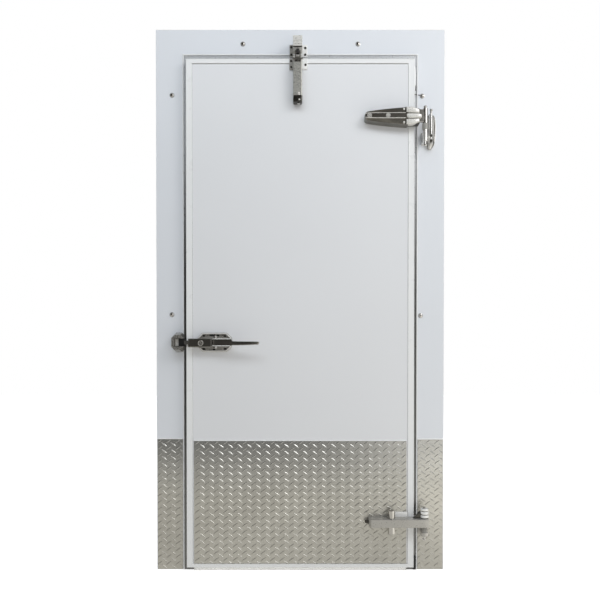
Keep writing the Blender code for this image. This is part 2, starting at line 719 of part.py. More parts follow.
def closer_arm():
    """Spiral cam hub, two bars, roller axle and pivot axle in one piece, and the roller."""
    bar = [(CLOSER_Y + y, z) for y, z in BAR]
    arm = outline("closer_arm", arm_cam_points(), 'YZ', -21.4, 1.4, ARM_STEEL)
    join(arm, outline("arm_bar_a", bar, 'YZ', -21.2, -17.2),
         outline("arm_bar_b", bar, 'YZ', -2.8, 1.2),
         cyl("arm_roller_axle", 3, 'X', -20, 0, ROLLER_AXIS, sides=20),
         cyl("arm_axle", 3.05, 'X', -31, 11, ARM_AXIS, sides=24))
    cut(arm, box("arm_fork", (-17.2, -2.8), (CLOSER_Y - 20, CLOSER_Y + 25), (2064, 2066.5)))
    pivot_at(arm, (*CLOSER, ARM_Z))
    turned("closer_roller", ROLLER_PROFILE, 'X', (CLOSER_X, *ROLLER_AXIS), ROLLER_BLACK,
           steps=28)


frame()
seal_faces()
jamb_kick_plates()
caps()
latch_strike()
closer_hook()

upper_hinge()
lower_hinge()

leaf_body()
leaf_trims()
leaf_seals()
leaf_kick_plate()

latch_base()
latch_housing()
key_cylinder()
latch_bolt()
latch_handle()
inside_release()

closer_body()
closer_piston()
closer_end_cap()
closer_arm()
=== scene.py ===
"""Insulated swing door in its frame, closed, with hinges, latch, closer and kick plates.

X runs across the door from the middle of the opening, Z up from the floor. The outside
faces -Y, with the frame's face at y = 0. The hinges are at +X and the latch is at -X.
Meshes are drawn in millimetres and scaled to metres; the stage is in metres.
"""
import bpy
import bmesh
import json
import math
from mathutils import Matrix, Vector

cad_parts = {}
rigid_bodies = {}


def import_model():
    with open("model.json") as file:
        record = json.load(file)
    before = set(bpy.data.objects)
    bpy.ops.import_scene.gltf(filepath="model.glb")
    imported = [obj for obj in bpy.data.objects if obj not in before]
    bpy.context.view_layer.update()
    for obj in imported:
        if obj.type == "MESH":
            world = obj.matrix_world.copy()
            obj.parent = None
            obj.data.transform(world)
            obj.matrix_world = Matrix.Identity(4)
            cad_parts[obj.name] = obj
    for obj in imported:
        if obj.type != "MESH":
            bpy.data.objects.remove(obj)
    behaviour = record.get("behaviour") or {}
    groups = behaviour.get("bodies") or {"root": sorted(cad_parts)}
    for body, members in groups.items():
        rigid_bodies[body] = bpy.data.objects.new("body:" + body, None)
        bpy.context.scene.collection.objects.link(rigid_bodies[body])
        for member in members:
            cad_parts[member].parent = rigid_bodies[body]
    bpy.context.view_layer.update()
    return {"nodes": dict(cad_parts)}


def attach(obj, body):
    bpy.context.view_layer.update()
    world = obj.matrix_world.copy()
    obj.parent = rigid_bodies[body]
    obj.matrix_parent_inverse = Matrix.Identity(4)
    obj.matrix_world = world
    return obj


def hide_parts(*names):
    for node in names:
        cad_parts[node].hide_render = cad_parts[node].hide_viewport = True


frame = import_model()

MM = 0.001
scene = bpy.context.scene

# Frame and opening
FRAME_HALF, FRAME_TOP, FRAME_DEPTH = 584.0, 2190.0, 100.0
OPEN_HALF, OPEN_TOP = 432.0, 2030.0
# Leaf and the visible widths of its trim
LEAF_HALF, LEAF_LOW, LEAF_HIGH = 457.0, 20.0, 2058.0
TRIM_SIDE, TRIM_LOW, TRIM_HIGH = 25.5, 16.0, 19.5
LEAF_FACE = -35.3             # back of the hardware fixed on the leaf
# Axes of the moving parts
PIN = (494.0, -60.0)          # x, y of both hinge pins
PIN_BORE = 5.15
RELEASE = (-296, 926)         # x, z of the inside release
KEY = (-393, 924)             # x, z of the key cylinder
LEVER = (-335.0, -70.0)       # x, y of the lever pivot
CLOSER = (-10.0, -56.6)       # x, y of the closer
CLOSER_ARM_Z = 2048.0


# ------------------------------------------------------------------ shader helpers
def set_inputs(target, inputs):
    """Give each input a value, or a link if the value is another node's output."""
    for key, value in inputs.items():
        socket = target.inputs[key]
        if isinstance(value, bpy.types.NodeSocket):
            target.id_data.links.new(value, socket)
        else:
            socket.default_value = (*value, 1) if socket.type == 'RGBA' else value


def node(tree, kind, inputs={}, **settings):
    made = tree.nodes.new("ShaderNode" + kind)
    for key, value in settings.items():
        setattr(made, key, value)
    set_inputs(made, inputs)
    return made


def new_material(name):
    """Return a material and its Principled shader."""
    material = bpy.data.materials.new(name)
    material.use_nodes = True
    return material, material.node_tree.nodes["Principled BSDF"]


def object_coords(shader):
    return node(shader.id_data, "TexCoord").outputs["Object"]


def world_position(tree):
    """Return the X, Y and Z outputs of the shaded point in the world."""
    position = node(tree, "NewGeometry").outputs["Position"]
    return node(tree, "SeparateXYZ", {0: position}).outputs


def noise(coord, scale, detail=3.0, rough=0.5, stretch=None):
    tree = coord.id_data
    if stretch:
        coord = node(tree, "Mapping", {"Vector": coord, "Scale": stretch}).outputs["Vector"]
    inputs = {"Vector": coord, "Scale": scale, "Detail": detail, "Roughness": rough}
    return node(tree, "TexNoise", inputs).outputs["Fac"]


def remap(value, to, span=(0.3, 0.7), **settings):
    """Map the span of a value to another range; the default span suits noise."""
    inputs = {"Value": value, "From Min": span[0], "From Max": span[1],
              "To Min": to[0], "To Max": to[1]}
    return node(value.id_data, "MapRange", inputs, **settings).outputs["Result"]


def ease(value, to, span):
    return remap(value, to, span, interpolation_type='SMOOTHSTEP')


def mix(factor, first, second, data_type='RGBA'):
    inputs = {"Factor": factor, "A": first, "B": second}
    return node(factor.id_data, "Mix", inputs, data_type=data_type).outputs["Result"]


def add(first, second):
    return node(first.id_data, "Math", {0: first, 1: second}, operation='ADD').outputs[0]


def mottle(pattern, color, tint):
    """Cloud a colour with a version of itself darker by the share tint."""
    darker = tuple(value * (1 - tint) for value in color)
    return mix(remap(pattern, to=(0, 1)), color, darker)


def add_bumps(shader, *layers):
    """Stack bumps, each (height, strength, distance), under the shader."""
    normal = None
    for height, strength, distance in layers:
        inputs = {"Height": height, "Strength": strength, "Distance": distance}
        if normal is not None:
            inputs["Normal"] = normal
        normal = node(shader.id_data, "Bump", inputs).outputs["Normal"]
    set_inputs(shader, {"Normal": normal})


# ------------------------------------------------------------------ kinds of material
def painted(name, color, rough, peel=0.05):
    """Powder-coated sheet: fine orange peel, faint cloudy tone, small roughness changes."""
    material, shader = new_material(name)
    coord = object_coords(shader)
    waves = noise(coord, scale=22.0, detail=4.0)
    set_inputs(shader, {
        "Base Color": mottle(noise(coord, scale=1.3, detail=2.0), color, tint=0.03),
        "Roughness": remap(waves, to=(rough - 0.04, rough + 0.05))})
    add_bumps(shader, (waves, 0.10, 0.0004), (noise(coord, scale=260.0), peel, 0.0006))
    return material


def metal(name, color, rough, tint, wave, metallic=1.0, scratch=0.0, along=(0.02, 1.0, 1.0)):
    """Bare or plated metal: cloudy tone, casting waviness and fine scratches."""
    material, shader = new_material(name)
    coord = object_coords(shader)
    cloud = noise(coord, scale=21.0)
    fine = noise(coord, scale=240.0, detail=4.0)
    set_inputs(shader, {
        "Base Color": mottle(cloud, color, tint),
        "Metallic": metallic,
        "Roughness": remap(fine, to=(rough * 0.7, rough * 1.35))})
    layers = [(cloud, wave, 0.002)]
    if scratch:
        brushed = noise(coord, scale=900.0, detail=4.0, rough=0.6, stretch=along)
        layers.append((brushed, scratch, 0.0003))
    add_bumps(shader, *layers)
    return material


def plastic(name, color, rough, grain, specular=0.5, alpha=1.0):
    material, shader = new_material(name)
    coord = object_coords(shader)
    cloud = noise(coord, scale=25.0)
    set_inputs(shader, {
        "Base Color": mottle(cloud, color, tint=0.06),
        "Roughness": remap(cloud, to=(rough - 0.05, rough + 0.05)),
        "Specular IOR Level": specular,
        "Alpha": alpha})
    add_bumps(shader, (noise(coord, scale=400.0, detail=4.0), grain, 0.0005))
    return material


def foam(name):
    """Cut polyurethane foam: open cells and a patchy cream tone."""
    material, shader = new_material(name)
    coord = object_coords(shader)
    cells = node(shader.id_data, "TexVoronoi", {"Vector": coord, "Scale": 700.0})
    patches = remap(noise(coord, scale=12.0), to=(0, 1))
    set_inputs(shader, {
        "Base Color": mix(patches, (0.80, 0.70, 0.42), (0.70, 0.58, 0.30)),
        "Roughness": 0.95})
    add_bumps(shader, (cells.outputs["Distance"], 0.5, 0.0012))
    return material


def tread_metal(name):
    """Tread plate: brushed warm grey mill finish, duller and warmer near the floor; the neutral
    tone higher up is painted cool light.
    """
    material, shader = new_material(name)
    coord = object_coords(shader)
    patch = noise(coord, scale=5.0, detail=4.0, rough=0.6)
    brush = noise(coord, scale=700.0, detail=4.0, rough=0.6, stretch=(0.03, 1.0, 1.0))
    speck = noise(coord, scale=130.0, detail=5.0, rough=0.7)
    height = world_position(shader.id_data)["Z"]
    finish = add(remap(patch, to=(0.28, 0.35)), remap(brush, to=(-0.03, 0.05)))
    scuffs = remap(height, to=(0.10, -0.14), span=(0.08, 0.53))
    warm = mix(remap(patch, to=(0, 1)), (0.665, 0.652, 0.605), (0.595, 0.580, 0.535))
    # Neutral tone for the upper plates: painted cool light from above
    painted_cool_tone = mix(remap(patch, to=(0, 1)), (0.660, 0.664, 0.655), (0.590, 0.592, 0.580))
    set_inputs(shader, {
        "Metallic": 0.86,
        "Roughness": add(finish, scuffs),
        "Base Color": mix(remap(height, to=(0, 1), span=(0.30, 0.56)), warm, painted_cool_tone)})
    add_bumps(shader, (speck, 0.10, 0.0008), (brush, 0.10, 0.0003))
    return material


def seal_metal(name):
    """Dark brushed steel that grows less metallic higher up, and brighter there as painted light.
    """
    material = metal(name, (0.250, 0.252, 0.255), rough=0.34, tint=0.12, wave=0.02,
                     scratch=0.08, along=(1.0, 1.0, 0.02))
    shader = material.node_tree.nodes["Principled BSDF"]
    height = world_position(material.node_tree)["Z"]
    # Height mask for the brighter colour higher up, which is painted light
    upper = ease(height, to=(0.0, 1.0), span=(1.05, 1.85))
    lower_color = shader.inputs["Base Color"].links[0].from_socket
    set_inputs(shader, {
        "Base Color": mix(upper, lower_color, (0.66, 0.67, 0.69)),
        "Metallic": remap(upper, to=(1.0, 0.45), span=(0.0, 1.0))})
    return material


PAINT = painted("paint_white_frame", (0.785, 0.806, 0.850), rough=0.38)
SKIN = painted("paint_white_leaf", (0.806, 0.813, 0.838), rough=0.34, peel=0.04)
TRIM = painted("trim_white", (0.880, 0.885, 0.890), rough=0.30, peel=0.02)
CHROME = metal("chrome_cast", (0.620, 0.605, 0.580), rough=0.10, tint=0.12, wave=0.05)
CHROME_DARK = metal("chrome_dark", (0.270, 0.258, 0.232), rough=0.18, tint=0.16, wave=0.06)
CHROME_SATIN = metal("chrome_satin", (0.780, 0.765, 0.735), rough=0.26, tint=0.08, wave=0.04)
SATIN = metal("satin_nickel", (0.760, 0.745, 0.710), rough=0.30, tint=0.06, wave=0.03,
              metallic=0.30)
GREY = metal("satin_grey", (0.520, 0.505, 0.475), rough=0.34, tint=0.08, wave=0.03,
             metallic=0.55)
# Pale, barely metallic finish for pieces painted as highlights: knuckle rings, base pad, latch
# rim, lever edges and the right ears
PAINTED_HIGHLIGHT = metal("painted_highlight_pale", (0.930, 0.925, 0.910), rough=0.22, tint=0.04, wave=0.02,
               metallic=0.12)
CHROME_MID = metal("chrome_mid", (0.420, 0.405, 0.375), rough=0.16, tint=0.16, wave=0.06)
STRIKE = metal("satin_grey_dark", (0.400, 0.388, 0.362), rough=0.26, tint=0.10, wave=0.04,
               metallic=0.70)
FLANGE = metal("chrome_flange", (0.800, 0.790, 0.770), rough=0.10, tint=0.08, wave=0.03,
               metallic=0.72)
STEEL = metal("steel_bright", (0.640, 0.635, 0.620), rough=0.20, tint=0.10, wave=0.03,
              scratch=0.05)
SEAL = seal_metal("seal_steel")
TREAD = tread_metal("tread_plate")
RUBBER = plastic("rubber_black", (0.030, 0.030, 0.032), rough=0.62, grain=0.15)
GASKET = plastic("gasket_grey", (0.115, 0.115, 0.120), rough=0.55, grain=0.10)
NYLON = plastic("nylon_cam_grey", (0.330, 0.322, 0.300), rough=0.42, grain=0.06)
SILVER = metal("closer_silver", (0.500, 0.490, 0.455), rough=0.30, tint=0.06, wave=0.02,
               metallic=0.55, scratch=0.05, along=(1.0, 1.0, 0.03))
# Dark plating for dark parts, also used as painted shade: the line inside the trim, the screw
# seats, the flange flutes and under the hook
DARK = metal("dark_plated_and_painted_shade", (0.110, 0.105, 0.095), rough=0.30, tint=0.20, wave=0.04)
ROLLER = plastic("roller_black", (0.035, 0.033, 0.033), rough=0.40, grain=0.08)
FOAM = foam("foam_core")
KNOB = plastic("knob_red", (0.560, 0.030, 0.020), rough=0.28, grain=0.04, specular=0.6)
VINYL = plastic("vinyl_clear", (0.93, 0.93, 0.92), rough=0.25, grain=0.03, alpha=0.30)
# Black for painted shade in the strike pocket and the base slots
PAINTED_SHADE_BLACK = plastic("painted_shade_black", (0.010, 0.010, 0.010), rough=0.80, grain=0.05)


# ------------------------------------------------------------------ pieces (bmeshes in mm)
def block(x, y, z, radius=1.0, steps=3):
    """A box between the (low, high) pairs x, y and z, with rounded edges."""
    piece = bmesh.new()
    bmesh.ops.create_cube(piece, size=1.0)
    bmesh.ops.scale(piece, vec=[high - low for low, high in (x, y, z)], verts=piece.verts)
    bmesh.ops.translate(piece, vec=[(low + high) / 2 for low, high in (x, y, z)],
                        verts=piece.verts)
    if radius:
        bmesh.ops.bevel(piece, geom=list(piece.edges), offset=radius, segments=steps,
                        profile=0.5, affect='EDGES', clamp_overlap=True)
    return piece


def extruded(points, shift):
    """A face through the points, drawn out along shift."""
    piece = bmesh.new()
    face = piece.faces.new([piece.verts.new(point) for point in points])
    grown = bmesh.ops.extrude_face_region(piece, geom=[face])["geom"]
    bmesh.ops.translate(piece, vec=shift,
                        verts=[item for item in grown if isinstance(item, bmesh.types.BMVert)])
    return piece


def prism(points, plane, low, high, radius=0.8, steps=2, low_rim_only=False):
    """An outline in a plane, thick from low to high, with rounded rims."""
    def place(first, second, along):
        return {'XY': (first, second, along), 'XZ': (first, along, second),
                'YZ': (along, first, second)}[plane]

    piece = extruded([place(*point, low) for point in points], place(0, 0, high - low))
    bmesh.ops.recalc_face_normals(piece, faces=piece.faces)
    if radius:
        axis = {'XY': 2, 'XZ': 1, 'YZ': 0}[plane]
        ends = (low,) if low_rim_only else (low, high)
        rims = [edge for edge in piece.edges
                if any(all(abs(vert.co[axis] - end) < 1e-5 for vert in edge.verts)
                       for end in ends)]
        bmesh.ops.bevel(piece, geom=rims, offset=radius, segments=steps, profile=0.5,
                        affect='EDGES', clamp_overlap=True)
    return piece


def unit_ring(count, power=1.0):
    """Points round a unit circle; a power below 1 squares it off."""
    angles = [2 * math.pi * k / count for k in range(count)]
    return [tuple(math.copysign(abs(value) ** power, value)
                  for value in (math.cos(angle), math.sin(angle))) for angle in angles]


TURNS = {'Z': Matrix.Identity(3), '-Z': Matrix.Rotation(math.pi, 3, 'X'),
         'Y': Matrix.Rotation(-math.pi / 2, 3, 'X'), '-Y': Matrix.Rotation(math.pi / 2, 3, 'X'),
         'X': Matrix.Rotation(math.pi / 2, 3, 'Y')}


def lathe(profile, axis, centre, count=32):
    """Turn (radius, height) points; the height runs along the axis from the centre."""
    piece = bmesh.new()
    rings = []
    for radius, height in profile:
        if radius < 1e-6:
            rings.append([piece.verts.new((0, 0, height))])
        else:
            rings.append([piece.verts.new((radius * across, radius * up, height))
                          for across, up in unit_ring(count)])
    for lower, upper in zip(rings, rings[1:]):
        for k in range(count):
            after = (k + 1) % count
            if len(lower) == 1:
                piece.faces.new((lower[0], upper[k], upper[after]))
            elif len(upper) == 1:
                piece.faces.new((lower[k], upper[0], lower[after]))
            else:
                piece.faces.new((lower[k], upper[k], upper[after], lower[after]))
    if profile[0] == profile[-1]:
        bmesh.ops.remove_doubles(piece, verts=piece.verts, dist=1e-5)
    else:
        for ring in (rings[0], rings[-1]):
            if len(ring) > 1:
                piece.faces.new(ring)
    bmesh.ops.rotate(piece, cent=(0, 0, 0), matrix=TURNS[axis], verts=piece.verts)
    bmesh.ops.translate(piece, vec=centre, verts=piece.verts)
    return piece


def on_axis(axis, along, across):
    """Join a place along an axis to the other two coordinates."""
    point = list(across)
    point.insert('XYZ'.index(axis), along)
    return point


def bar(axis, radius, low, high, across, chamfer=0.8, count=32):
    """A round bar from low to high along an axis, with small chamfers."""
    end = high - low
    rim, soft = radius - chamfer, chamfer * 0.3
    profile = [(0, 0), (rim, 0), (radius - soft, soft), (radius, chamfer),
               (radius, end - chamfer), (radius - soft, end - soft), (rim, end), (0, end)]
    return lathe(profile, axis, on_axis(axis, low, across), count)


def drill(axis, radius, low, high, across, count=32):
    return bar(axis, radius, low, high, across, 0.01, count)


def tube(axis, bore, radius, low, high, across, chamfer, count=36):
    end = high - low
    profile = [(bore, chamfer), (bore + chamfer, 0), (radius - chamfer, 0), (radius, chamfer),
               (radius, end - chamfer), (radius - chamfer, end), (bore + chamfer, end),
               (bore, end - chamfer), (bore, chamfer)]
    return lathe(profile, axis, on_axis(axis, low, across), count)


def loft(sections):
    """Skin a run of equal-length sections and cap both ends."""
    piece = bmesh.new()
    rings = [[piece.verts.new(point) for point in section] for section in sections]
    count = len(rings[0])
    for one, two in zip(rings, rings[1:]):
        for k in range(count):
            after = (k + 1) % count
            piece.faces.new((one[k], one[after], two[after], two[k]))
    piece.faces.new(rings[0])
    piece.faces.new(rings[-1])
    return piece


def mirrored(x, low, high, half):
    """A section at x from (y, rise) points, measured up from low, then down from high."""
    return ([(x, y, low + rise) for y, rise in half]
            + [(x, y, high - rise) for y, rise in reversed(half)])


def squared_column(stations, half_x, half_y, power):
    """A rounded-square column on the closer's axis from (z, scale) stations."""
    return loft([[(CLOSER[0] + across * half_x * scale, CLOSER[1] + out * half_y * scale, z)
                  for across, out in unit_ring(40, power)] for z, scale in stations])


def screw(x, y, z, radius, height):
    """A round head with a socket, facing -Y."""
    shares = ((0, 0.25), (0.34, 0.25), (0.40, 0.92), (0.62, 1), (0.86, 0.72), (1, 0.2),
              (1, 0), (0, 0))
    return lathe([(radius * out, height * up) for out, up in shares], '-Y', (x, y, z), 20)


def rimmed_screw(x, y, z, radius):
    """The proud rim and the socket head of a countersunk screw facing -Y."""
    rim = ((0.74, -1.0), (0.78, 1.0), (0.90, 1.7), (1, 1.0), (1.04, -1.0), (0.74, -1.0))
    head = ((0, 0.1), (0.22, 0.1), (0.26, 1.2), (0.46, 1.3), (0.56, 0.6), (0.56, -1.0),
            (0, -1.0))
    return [lathe([(radius * out, up) for out, up in profile], '-Y', (x, y, z), count)
            for profile, count in ((rim, 28), (head, 24))]


def screw_seat(x, y, z, radius):
    seat = [(0, 0.35), (radius * 0.80, 0.35), (radius * 0.80, -1.0), (0, -1.0)]
    return lathe(seat, '-Y', (x, y, z), 24)


# ------------------------------------------------------------------ objects from pieces
def join(pieces):
    """Merge closed pieces into one bmesh with its normals pointing out."""
    mesh = bmesh.new()
    for piece in pieces:
        bmesh.ops.recalc_face_normals(piece, faces=piece.faces)
        data = bpy.data.meshes.new("piece")
        piece.to_mesh(data)
        piece.free()
        mesh.from_mesh(data)
        bpy.data.meshes.remove(data)
    bmesh.ops.recalc_face_normals(mesh, faces=mesh.faces)
    return mesh


def link_mesh(name, mesh):
    data = bpy.data.meshes.new(name)
    mesh.to_mesh(data)
    mesh.free()
    data.transform(Matrix.Scale(MM, 4))
    obj = bpy.data.objects.new(name, data)
    scene.collection.objects.link(obj)
    return obj


def smooth(obj, degrees):
    obj.data.shade_smooth()
    obj.data.set_sharp_from_angle(angle=math.radians(degrees))


def bake(obj):
    """Apply an object's modifiers to its mesh."""
    bpy.context.view_layer.update()
    evaluated = obj.evaluated_get(bpy.context.evaluated_depsgraph_get())
    data = bpy.data.meshes.new_from_object(evaluated)
    material = obj.data.materials[0]
    obj.modifiers.clear()
    obj.data = data
    if not data.materials:    # in case the new mesh comes without its material
        data.materials.append(material)


def carve(obj, cutters):
    tools = []
    for cutter in cutters:
        tool = link_mesh("cutter", join([cutter]))
        cut = obj.modifiers.new("cut", 'BOOLEAN')
        cut.operation = 'DIFFERENCE'
        cut.solver = 'EXACT'
        cut.object = tool
        tools.append(tool)
    material = obj.data.materials[0]
    bake(obj)
    for tool in tools:
        bpy.data.objects.remove(tool, do_unlink=True)
    obj.data.materials.clear()
    obj.data.materials.append(material)
    smooth(obj, 32)


def round_edges(obj, width, degrees):
    """Bevel the edges sharper than an angle."""
    bevel = obj.modifiers.new("round", 'BEVEL')
    bevel.width = width * MM
    bevel.segments = 2
    bevel.limit_method = 'ANGLE'
    bevel.angle_limit = math.radians(degrees)


def add_object(name, mesh, material, body, degrees):
    obj = link_mesh(name, mesh)
    obj.data.materials.append(material)
    smooth(obj, degrees)
    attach(obj, body)
    return obj


def part(name, pieces, material, body, degrees=32, cuts=(), rounding=None, replaces=None):
    """Join pieces into an object, smooth up to an angle, then cut and round it.

    rounding is (width, least angle); replaces names the CAD node this stands for.
    """
    obj = add_object(name, join(pieces), material, body, degrees)
    if cuts:
        carve(obj, cuts)
    if rounding:
        round_edges(obj, *rounding)
        bake(obj)
        smooth(obj, 35)
    if replaces:
        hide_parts(replaces)


# ------------------------------------------------------------------ frame skin
def frame_skin():
    """One folded white sheet round both jambs and the header, open at the feet."""
    outline = [(-FRAME_HALF, 0), (-FRAME_HALF, FRAME_TOP), (FRAME_HALF, FRAME_TOP),
               (FRAME_HALF, 0), (OPEN_HALF, 0), (OPEN_HALF, OPEN_TOP),
               (-OPEN_HALF, OPEN_TOP), (-OPEN_HALF, 0)]
    mesh = extruded([(x, 0, z) for x, z in outline], (0, FRAME_DEPTH, 0))
    feet = [face for face in mesh.faces if all(abs(vert.co.z) < 1e-5 for vert in face.verts)]
    bmesh.ops.delete(mesh, geom=feet, context='FACES')
    bmesh.ops.recalc_face_normals(mesh, faces=mesh.faces)
    folds = [edge for edge in mesh.edges if not edge.is_boundary]
    bmesh.ops.bevel(mesh, geom=folds, offset=2.2, segments=3, profile=0.5, affect='EDGES')
    obj = add_object("frame_skin", mesh, PAINT, "frame", 40)
    sheet = obj.modifiers.new("sheet", 'SOLIDIFY')
    sheet.thickness = 1.0 * MM
    sheet.offset = -1.0
    bake(obj)
    smooth(obj, 40)
    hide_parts("jamb_left_shell", "jamb_right_shell", "header_shell")


frame_skin()

# ------------------------------------------------------------------ seal face round the opening
SIDE_SEAL = (43.5, 4.2)       # width of the strip, and of the bead on its outer edge
TOP_SEAL = (60.6, 5.4)
SEAL_GROOVE = 9.0


def seal_profile(width, bead):
    """(outward, y) of the flat land, shallow groove and low outer lip."""
    land, lip = width - bead - SEAL_GROOVE, width - bead
    return [(-2, -0.3), (-2, -1.5), (-1.4, -1.8), (land, -1.8), (land + 1.0, -0.8),
            (lip - 1.4, -0.8), (lip - 0.4, -2.2), (width, -2.2), (width, -0.3)]


def bead_profile(width, bead):
    """(outward, y) of the raised bead over the lip."""
    lip = width - bead
    return [(lip, -2.3), (lip - 0.2, -3.6), (lip + 0.8, -4.8), (width - bead * 0.5, -5.3),
            (width - 0.6, -4.8), (width + 0.5, -3.4), (width + 0.8, -1.6),
            (width + 0.8, -0.3), (width + 0.1, -0.3), (width + 0.1, -2.3)]


def three_sides(name, profile, material, replaces=None):
    """Run a profile up both jambs and across the header, mitred at the corners."""
    side, top = profile(*SIDE_SEAL), profile(*TOP_SEAL)

    def upright(sign):
        return [[(sign * (OPEN_HALF + out), y, 0.5) for out, y in side],
                [(sign * (OPEN_HALF + out), y, OPEN_TOP + rise)
                 for (out, y), (rise, _) in zip(side, top)]]

    header = [[(sign * (OPEN_HALF + out - 0.15), y, OPEN_TOP + rise)
               for (out, _), (rise, y) in zip(side, top)] for sign in (-1, 1)]
    for place, sections in (("left", upright(-1)), ("right", upright(1)), ("header", header)):
        part(name + place, [loft(sections)], material, "frame", 28,
             replaces=replaces and replaces + place)


three_sides("seal_face_strip_", seal_profile, SEAL, "seal_face_")
three_sides("seal_edge_bead_", bead_profile, TRIM)

# Ribbed rubber block at the foot of the right seal
RIB_PITCH = 8.4
part("seal_end_block", [block((458.8, 468), (-12.5, -2.0), (3, 57), 1.2, 2)]
     + [block((459.6, 467.2), (-13.4, -11), (7 + k * RIB_PITCH, 11.5 + k * RIB_PITCH), 0.8, 1)
        for k in range(6)],
     RUBBER, "frame", replaces="seal_end_pad")

# ------------------------------------------------------------------ leaf seals
# (outward, y): magnet strip, folded bellows and root; runs up, over and down with mitres
GASKET_PROFILE = (
    (5, -2.3), (5, -5.2), (7.2, -6.0), (5.4, -7.4), (7.2, -9.0), (5.4, -10.6), (7.5, -13.0),
    (20.5, -13.0), (22.6, -10.6), (20.8, -9.0), (22.6, -7.4), (20.8, -6.0), (23, -5.2),
    (23, -2.3))
GASKET_LOW = 22
sections = [[(sign * (OPEN_HALF + out), y, OPEN_TOP + out if at_top else GASKET_LOW)
             for out, y in GASKET_PROFILE]
            for sign, at_top in ((-1, False), (-1, True), (1, True), (1, False))]
part("gasket_bellows", [loft(sections)], GASKET, "leaf", 30,
     replaces="magnetic_gasket")

# Bottom sweep: a thin carrier and two clear vinyl lips
part("sweep_lips",
     [block((-430, 430), (-24, -14), (15.8, 19.6), 0.8, 2)]
     + [prism(lip, 'YZ', -430, 430, 0.3, 1) for lip in (
         [(-22.6, 16.5), (-21.0, 16.5), (-22.0, 4.6), (-23.4, 4.6)],
         [(-17.6, 16.5), (-16.0, 16.5), (-17.0, 4.2), (-18.4, 4.2)])],
     VINYL, "leaf", replaces="bottom_sweep")

# ------------------------------------------------------------------ leaf skin, trim, inner pan
SKIN_HALF = LEAF_HALF - TRIM_SIDE
SKIN_LOW, SKIN_HIGH = LEAF_LOW + TRIM_LOW, LEAF_HIGH - TRIM_HIGH
part("leaf_skin_sheet",
     [block((-SKIN_HALF + 0.5, SKIN_HALF - 0.5), (-34.4, -33.0),
            (SKIN_LOW + 0.5, SKIN_HIGH - 1.8), 0.4, 2)],
     SKIN, "leaf", replaces="leaf_outer_skin")

# Painted shadow line inside the trim, along the top and down both sides, where the raised trim
# shades the skin
SHADOW_LINE_Y = (-33.99, -33.78)
part("leaf_skin_painted_shadow_line",
     [block((-SKIN_HALF + 0.1, SKIN_HALF - 0.1), SHADOW_LINE_Y, (SKIN_HIGH - 4.0, SKIN_HIGH - 0.1), 0)]
     + [block(sorted((sign * (SKIN_HALF - 0.1), sign * (SKIN_HALF - 3.0))), SHADOW_LINE_Y,
              (SKIN_LOW + 0.2, SKIN_HIGH - 4.2), 0) for sign in (-1, 1)],
     DARK, "leaf")

# (share of the trim width in from the leaf's edge, y)
TRIM_PROFILE = (
    (0.0, -13.4), (0.0, -32.2), (0.02, -34.8), (0.06, -36.6), (0.12, -37.3), (0.18, -37.1),
    (0.25, -36.4), (0.76, -36.4), (0.83, -37.0), (0.90, -37.2), (0.96, -36.7), (0.99, -35.6),
    (1.0, -34.2), (1.0, -17.2), (0.62, -17.2), (0.62, -13.4))
MITRE_GAP = 0.12              # each strip stops this much short of the mitre


def trim_section(side, level, gap_x, gap_z):
    """The trim profile on the mitre of one corner; side and level are -1 or 1."""
    section = []
    for share, y in TRIM_PROFILE:
        x = side * (LEAF_HALF - share * TRIM_SIDE)
        z = LEAF_LOW + share * TRIM_LOW if level < 0 else LEAF_HIGH - share * TRIM_HIGH
        section.append((x + gap_x, y, z + gap_z))
    return section


for place, start, end, gap_x, gap_z in (
        ("left", (-1, -1), (-1, 1), 0, MITRE_GAP), ("right", (1, -1), (1, 1), 0, MITRE_GAP),
        ("top", (-1, 1), (1, 1), MITRE_GAP, 0), ("bottom", (-1, -1), (1, -1), MITRE_GAP, 0)):
    part("trim_strip_" + place,
         [loft([trim_section(*start, gap_x, gap_z), trim_section(*end, -gap_x, -gap_z)])],
         TRIM, "leaf", 35, replaces="leaf_trim_" + place)

# Inner pan: a tray open to the front, pierced for the release
part("inner_pan_pressed", [block((-418.3, 418.3), (-13.0, 65.3), (36.3, 2018.3), 3.0, 4)],
     SKIN, "leaf", 40,
     cuts=[block((-417.3, 417.3), (-30, 64.3), (37.3, 2017.3), 0),
           drill('Y', 8.4, 50, 90, RELEASE)],
     replaces="leaf_inner_pan")

# ------------------------------------------------------------------ kick plates
LENS_PITCH_X, LENS_PITCH_Z = 37.7, 27.7
LENS_LENGTH, LENS_WIDTH, LENS_HEIGHT = 28.0, 5.8, 1.35
LENS_ANGLE = math.radians(36)
# Share of length, share of width, height of each ring up a lens
LENS_RINGS = ((1.0, 1.0, -0.4), (0.985, 0.95, 0.12), (0.90, 0.50, LENS_HEIGHT * 0.60),
              (0.82, 0.20, LENS_HEIGHT * 0.93))
# Name, body, x, y and z extents, x and z of one lens, x extent and y of the white line painted as
# a highlight
KICK_PLATES = (
    ("door", "leaf", (-427, 427), (-37.3, LEAF_FACE), (37, 531), (247.6, 289.4),
     (-426.5, 426.5), -34.2),
    ("jamb_left", "frame", (-581, -477.5), (-2.3, -0.3), (2, 533.5), (-554, 262.0),
     (-581, -478), -0.1),
    ("jamb_right", "frame", (477.5, 581), (-2.3, -0.3), (2, 532), (499.6, 258.0),
     (478, 581), -0.1))


def clamp(value, span, inset):
    return min(max(value, span[0] + inset), span[1] - inset)


